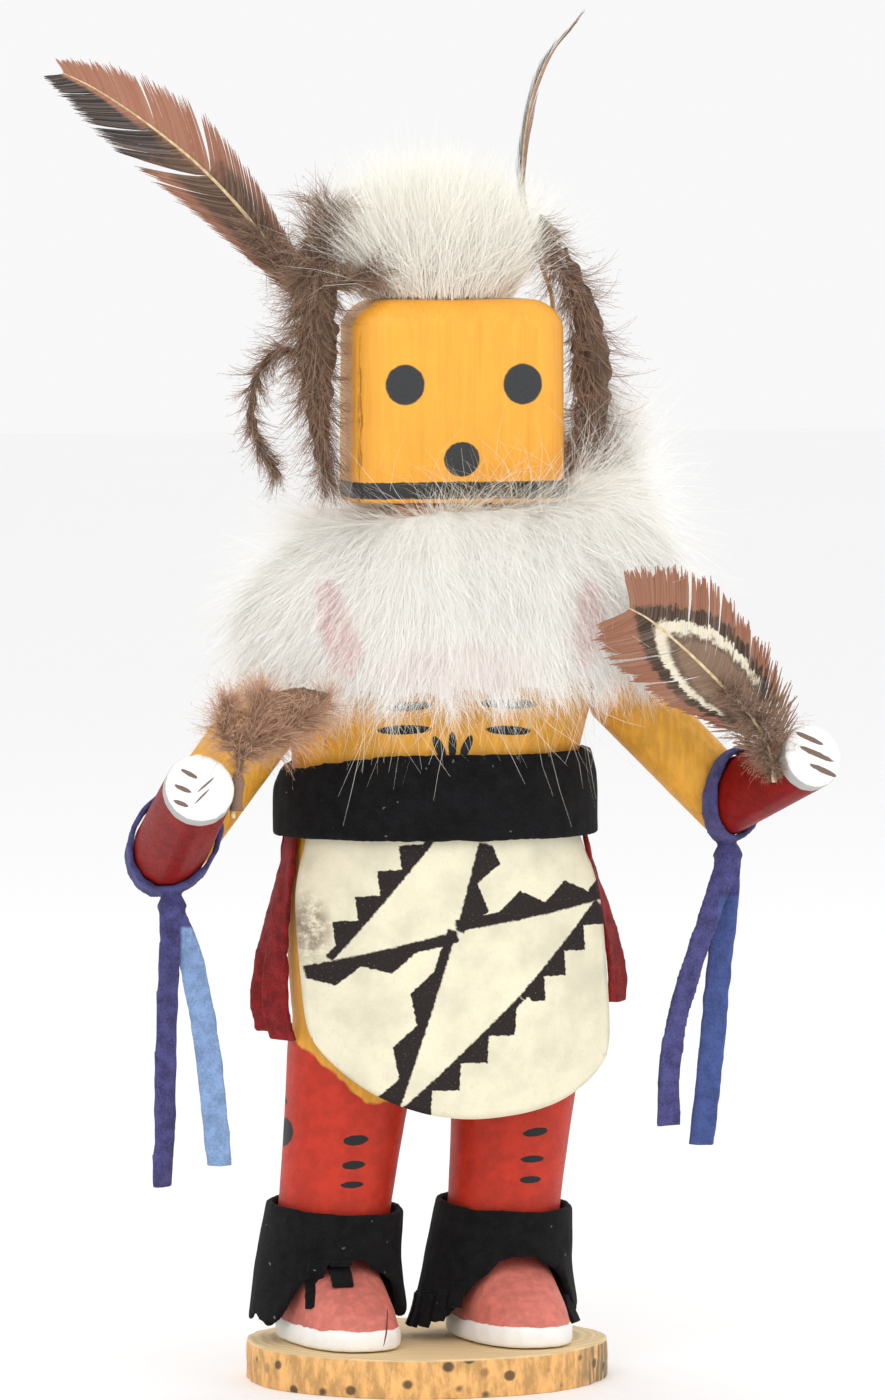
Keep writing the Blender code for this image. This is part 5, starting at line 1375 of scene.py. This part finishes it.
class DOLL_OT_plumes(bpy.types.Operator):
    """Fluffs the brown down beside the head"""
    bl_idname = "doll.plumes"
    bl_label = "Down plumes"

    def execute(self, context):
        colours = context.scene.doll_feathers
        rng = np.random.default_rng(47)
        tone = down_material("head_down_tone", colours, 1.25)
        count = colours.plume_barbs
        right = route(HEAD_SIDE_RIGHT, ((-4.0, -3, 12), (-5.6, -3, 4), (-6.6, -3, -6), (-6.4, -3, -17),
                                              (-5.4, -3, -28), (-4.2, -3, -39)))
        outer = route(HEAD_SIDE_RIGHT, ((-8.0, -2, 14), (-9.4, -2, 5), (-9.6, -2, -6), (-8.2, -2, -20)))
        feather_foot = route(HEAD_SIDE_RIGHT, ((-7, 3, -4), (-12, 4, 6), (-18, 5, 14)))
        curl = route(HEAD_SIDE_RIGHT, ((-8, -2, -12), (-14, 1, -11), (-18.4, 3, -16), (-19.8, 4, -24),
                                             (-17.8, 4, -31.5), (-13.8, 3.4, -37)))
        left = route(HEAD_SIDE_LEFT, ((-4.4, -2, 18), (-0.6, -2, 9), (4.0, -1, -1), (6.6, -1, -14),
                                      (6.8, -1, -27),
                                            (6.0, -1, -40)))
        inner = route(HEAD_SIDE_LEFT, ((1.2, -4, 1), (2.8, -4, -12), (3.0, -4, -26), (2.6, -4, -39)))
        crown = route(HEAD_SIDE_RIGHT, ((-6.6, -3, -2), (-7.2, -3, 7), (-5.6, -3, 14), (-3.2, -3, 19)))
        corner = route(HEAD_SIDE_RIGHT, ((-4.0, -6, 1.5), (0.0, -8, 4.5), (4.0, -9, 5.5)))
        # The cores under the down take a darker copy of its brown: painted shade inside the plumes
        under = down_material("shaded_down_core_tone", colours, 0.85)
        for side in SIDES:
            lump = rounded_copy(f"down_plume_{side}", 0.8 * MM, 3, shrink=2.0 * MM, relief=1.5 * MM,
                                relief_scale=330.0)
            settle(f"down_{side}_body", lump, under, f"down_plume_{side}")
        barbs = Strands.joined([
            plume(right, (9.0, 11.0, 11.0, 10.0, 8.6, 7.0), count, rng),
            plume(outer, (8.0, 9.0, 9.0, 8.0), count // 3, rng, drift=(-0.3, 0.0, 0.0)),
            plume(crown, (8.0, 10.0, 10.0, 8.0), count // 2, rng, forward=0.9, drift=(0.1, 0.0, 0.2)),
            plume(corner, (7.0, 8.0, 7.0), count // 4, rng, forward=0.9, drift=(0.2, 0.0, 0.4)),
            plume(feather_foot, (7.0, 7.5, 6.0), count // 4, rng),
            plume(curl, (4.6, 5.2, 5.6, 5.6, 5.4, 5.0), count // 2, rng, curl=0.7)])
        settle_plume("down_right", barbs, 3, rng, tone, "down_plume_right")
        barbs = Strands.joined([plume(left, (7.0, 9.0, 10.5, 11.0, 10.5, 8.0), count, rng),
                                plume(inner, (4.0, 4.0, 4.0, 4.0), count // 4, rng)])
        settle_plume("down_left", barbs, 3, rng, tone, "down_plume_left")
        return {"FINISHED"}


class DOLL_OT_hand_feathers(bpy.types.Operator):
    """Sets a feather beside each hand"""
    bl_idname = "doll.hand_feathers"
    bl_label = "Hand feathers"

    def execute(self, context):
        colours = context.scene.doll_feathers
        rng = np.random.default_rng(59)
        quill = quill_material("quill_hand")
        left = route(Vector(), (
            (68.6, -38.2, 131.0), (67.6, -39.1, 136.0), (63.6, -40.3, 144.4), (55.0, -41.1, 153.4),
            (47.8, -41.5, 160.2), (41.0, -41.5, 165.8), (36.4, -41.5, 168.4)))
        strands = vane(left, FRONT, (1.0, 5.0, 8.0, 10.5, 12.0, 12.0, 10.0, 6.0),
                       (1.0, 7.0, 11.0, 13.0, 14.0, 12.5, 9.5, 6.0), colours.barbs, rng,
                       ((0.56, 0.05), (0.72, 0.07)), slant=0.72, start=0.1, fluff=0.36, spread=2.6)
        low_fluff = plume(left[:4], (3.0, 6.5, 7.5, 5.0), colours.plume_barbs // 2, rng, forward=0.8)
        settle_plume("window_feather_fluff", low_fluff, 7, rng,
                     down_material("window_down_tone", colours, 1.25), "feather_hand_left")
        tone = feather_material("window_feather_tone", colours, window_feather)
        settle("window_feather_vane", grow(strands), tone, "feather_hand_left")
        settle_quill("window_feather_quill", left, 0.6, 0.15, quill, "feather_hand_left")
        right = route(Vector(), ((-48.5, -41.5, 125.0), (-47.9, -41.5, 132.0), (-46.5, -41.5, 137.5)))
        lump = rounded_copy("feather_hand_right", 0.7 * MM, 2, shrink=2.0 * MM, relief=0.6 * MM,
                            relief_scale=420.0)
        # The fluff's core takes a darker copy of its brown: painted shade inside the fluff
        settle("hand_fluff_body", lump, down_material("shaded_hand_core_tone", colours, 1.8),
               "feather_hand_right")
        # Three stems spread from the quill, each by its middle, end, reach and share of the barbs
        count = colours.plume_barbs
        stems = (((-49.4, -41.8, 143.0), (-49.8, -41.4, 149.0), 5.6, 0.4),
                 ((-44.0, -42.0, 144.0), (-41.5, -41.6, 150.5), 6.4, 0.5),
                 ((-39.0, -41.5, 142.0), (-28.0, -39.4, 148.5), 6.4, 0.6))
        parts = [plume([right[-1], mm(*middle), mm(*end)], (5.5, radius * 1.2, radius), int(count * share),
                       rng, curl=0.6) for middle, end, radius, share in stems]
        # A little down lower on the quill
        parts.append(plume(right[1:], (2.0, 4.5), count // 8, rng))
        fluff = Strands.joined(parts)
        settle_plume("hand_fluff", fluff, 3, rng, down_material("hand_down_tone", colours, 2.3),
                     "feather_hand_right")
        settle_quill("hand_fluff_quill", right, 0.6, 0.3, quill, "feather_hand_right")
        return {"FINISHED"}


# Stage


class StageSettings(bpy.types.PropertyGroup):
    floor_tone: FloatProperty(name="Floor tone", description="Grey of the pale floor", default=0.98, min=0.0,
                              max=1.0)
    key_power: FloatProperty(name="Key light", description="Power of the large light", default=5.1, min=0.0,
                             subtype="POWER")
    fill_power: FloatProperty(name="Fill light", description="Power of the light on the other side",
                              default=2.0, min=0.0, subtype="POWER")
    sky: FloatProperty(name="Sky", description="Strength of the even light all round", default=0.94, min=0.0)
    focal: FloatProperty(name="Lens", description="Focal length of the camera in mm", default=239.2, min=10.0)


def looking(spot, aim):
    """Where a lamp or camera stands and how it is turned to look at its aim."""
    return Matrix.Translation(spot) @ (spot - aim).to_track_quat("Z", "Y").to_matrix().to_4x4()


class DOLL_OT_stage(bpy.types.Operator):
    """Lays the floor and sets lights and camera"""
    bl_idname = "doll.stage"
    bl_label = "Stage"

    def execute(self, context):
        scene = context.scene
        stage = scene.doll_stage
        bm = bmesh.new()
        bmesh.ops.create_grid(bm, x_segments=1, y_segments=1, size=6.0)
        mesh = bpy.data.meshes.new("floor")
        bm.to_mesh(mesh)
        bm.free()
        material, w, shader, place = new_material("pale_floor", 0.85, Specular_IOR_Level=0.2)
        tone = w.ease(w.noise(place, 3.0), 0.0, 1.0, stage.floor_tone - 0.01, stage.floor_tone)
        w.feed(shader, Base_Color=w.add("ShaderNodeCombineColor", tone, tone, tone).outputs[0])
        mesh.materials.append(material)
        floor = bpy.data.objects.new("floor", mesh)
        scene.collection.objects.link(floor)
        world = bpy.data.worlds.new("studio")
        world.use_nodes = True
        back = world.node_tree.nodes["Background"]
        back.inputs["Color"].default_value = (1.0, 1.0, 1.0, 1.0)
        back.inputs["Strength"].default_value = stage.sky
        scene.world = world
        lights = (("key", (-0.55, -1.15, 0.95), 0.8, stage.key_power),
                  ("fill", (0.95, -0.9, 0.55), 0.9, stage.fill_power),
                  ("top", (0.1, 0.45, 1.3), 0.7, stage.fill_power))
        for name, place, size, power in lights:
            data = bpy.data.lights.new(name, "AREA")
            data.size = size
            data.energy = power
            lamp = bpy.data.objects.new(name, data)
            lamp.matrix_world = looking(Vector(place), mm(0, 0, 140))
            scene.collection.objects.link(lamp)
        data = bpy.data.cameras.new("camera")
        data.sensor_width = 36.0
        data.sensor_fit = "AUTO"
        data.lens = stage.focal
        data.clip_start = 0.05
        data.clip_end = 30.0
        camera = bpy.data.objects.new("camera", data)
        camera.matrix_world = looking(mm(-343.8, -1970.2, 271.8), mm(3.52, -0.62, 146.8))
        scene.collection.objects.link(camera)
        scene.camera = camera
        scene.view_settings.view_transform = "Standard"
        return {"FINISHED"}


OPERATORS = (DOLL_OT_stage, DOLL_OT_slice, DOLL_OT_body, DOLL_OT_head, DOLL_OT_belt, DOLL_OT_apron,
             DOLL_OT_strips, DOLL_OT_crest, DOLL_OT_ruff, DOLL_OT_plumes, DOLL_OT_head_feathers,
             DOLL_OT_hand_feathers)
SETTINGS = {"doll_paint": PaintSettings, "doll_leather": LeatherSettings, "doll_fur": FurSettings,
            "doll_feathers": FeatherSettings, "doll_stage": StageSettings}


class DOLL_PT_pieces(bpy.types.Panel):
    """Lists the pieces of the doll"""
    bl_idname = "DOLL_PT_pieces"
    bl_label = "Kachina doll"
    bl_space_type = "VIEW_3D"
    bl_region_type = "UI"
    bl_category = "Doll"

    def draw(self, context):
        for operator in OPERATORS:
            self.layout.operator(operator.bl_idname, text=operator.bl_label)
        for name, settings in SETTINGS.items():
            box = self.layout.box()
            for label in settings.__annotations__:
                box.prop(getattr(context.scene, name), label)


CLASSES = (*SETTINGS.values(), *OPERATORS, DOLL_PT_pieces)


def register():
    for item in CLASSES:
        bpy.utils.register_class(item)
    for name, settings in SETTINGS.items():
        setattr(bpy.types.Scene, name, PointerProperty(type=settings))


def unregister():
    for name in SETTINGS:
        delattr(bpy.types.Scene, name)
    for item in reversed(CLASSES):
        bpy.utils.unregister_class(item)


def main():
    register()
    for operator in OPERATORS:
        group, name = operator.bl_idname.split(".")
        getattr(getattr(bpy.ops, group), name)()


if __name__ == "__main__":
    main()
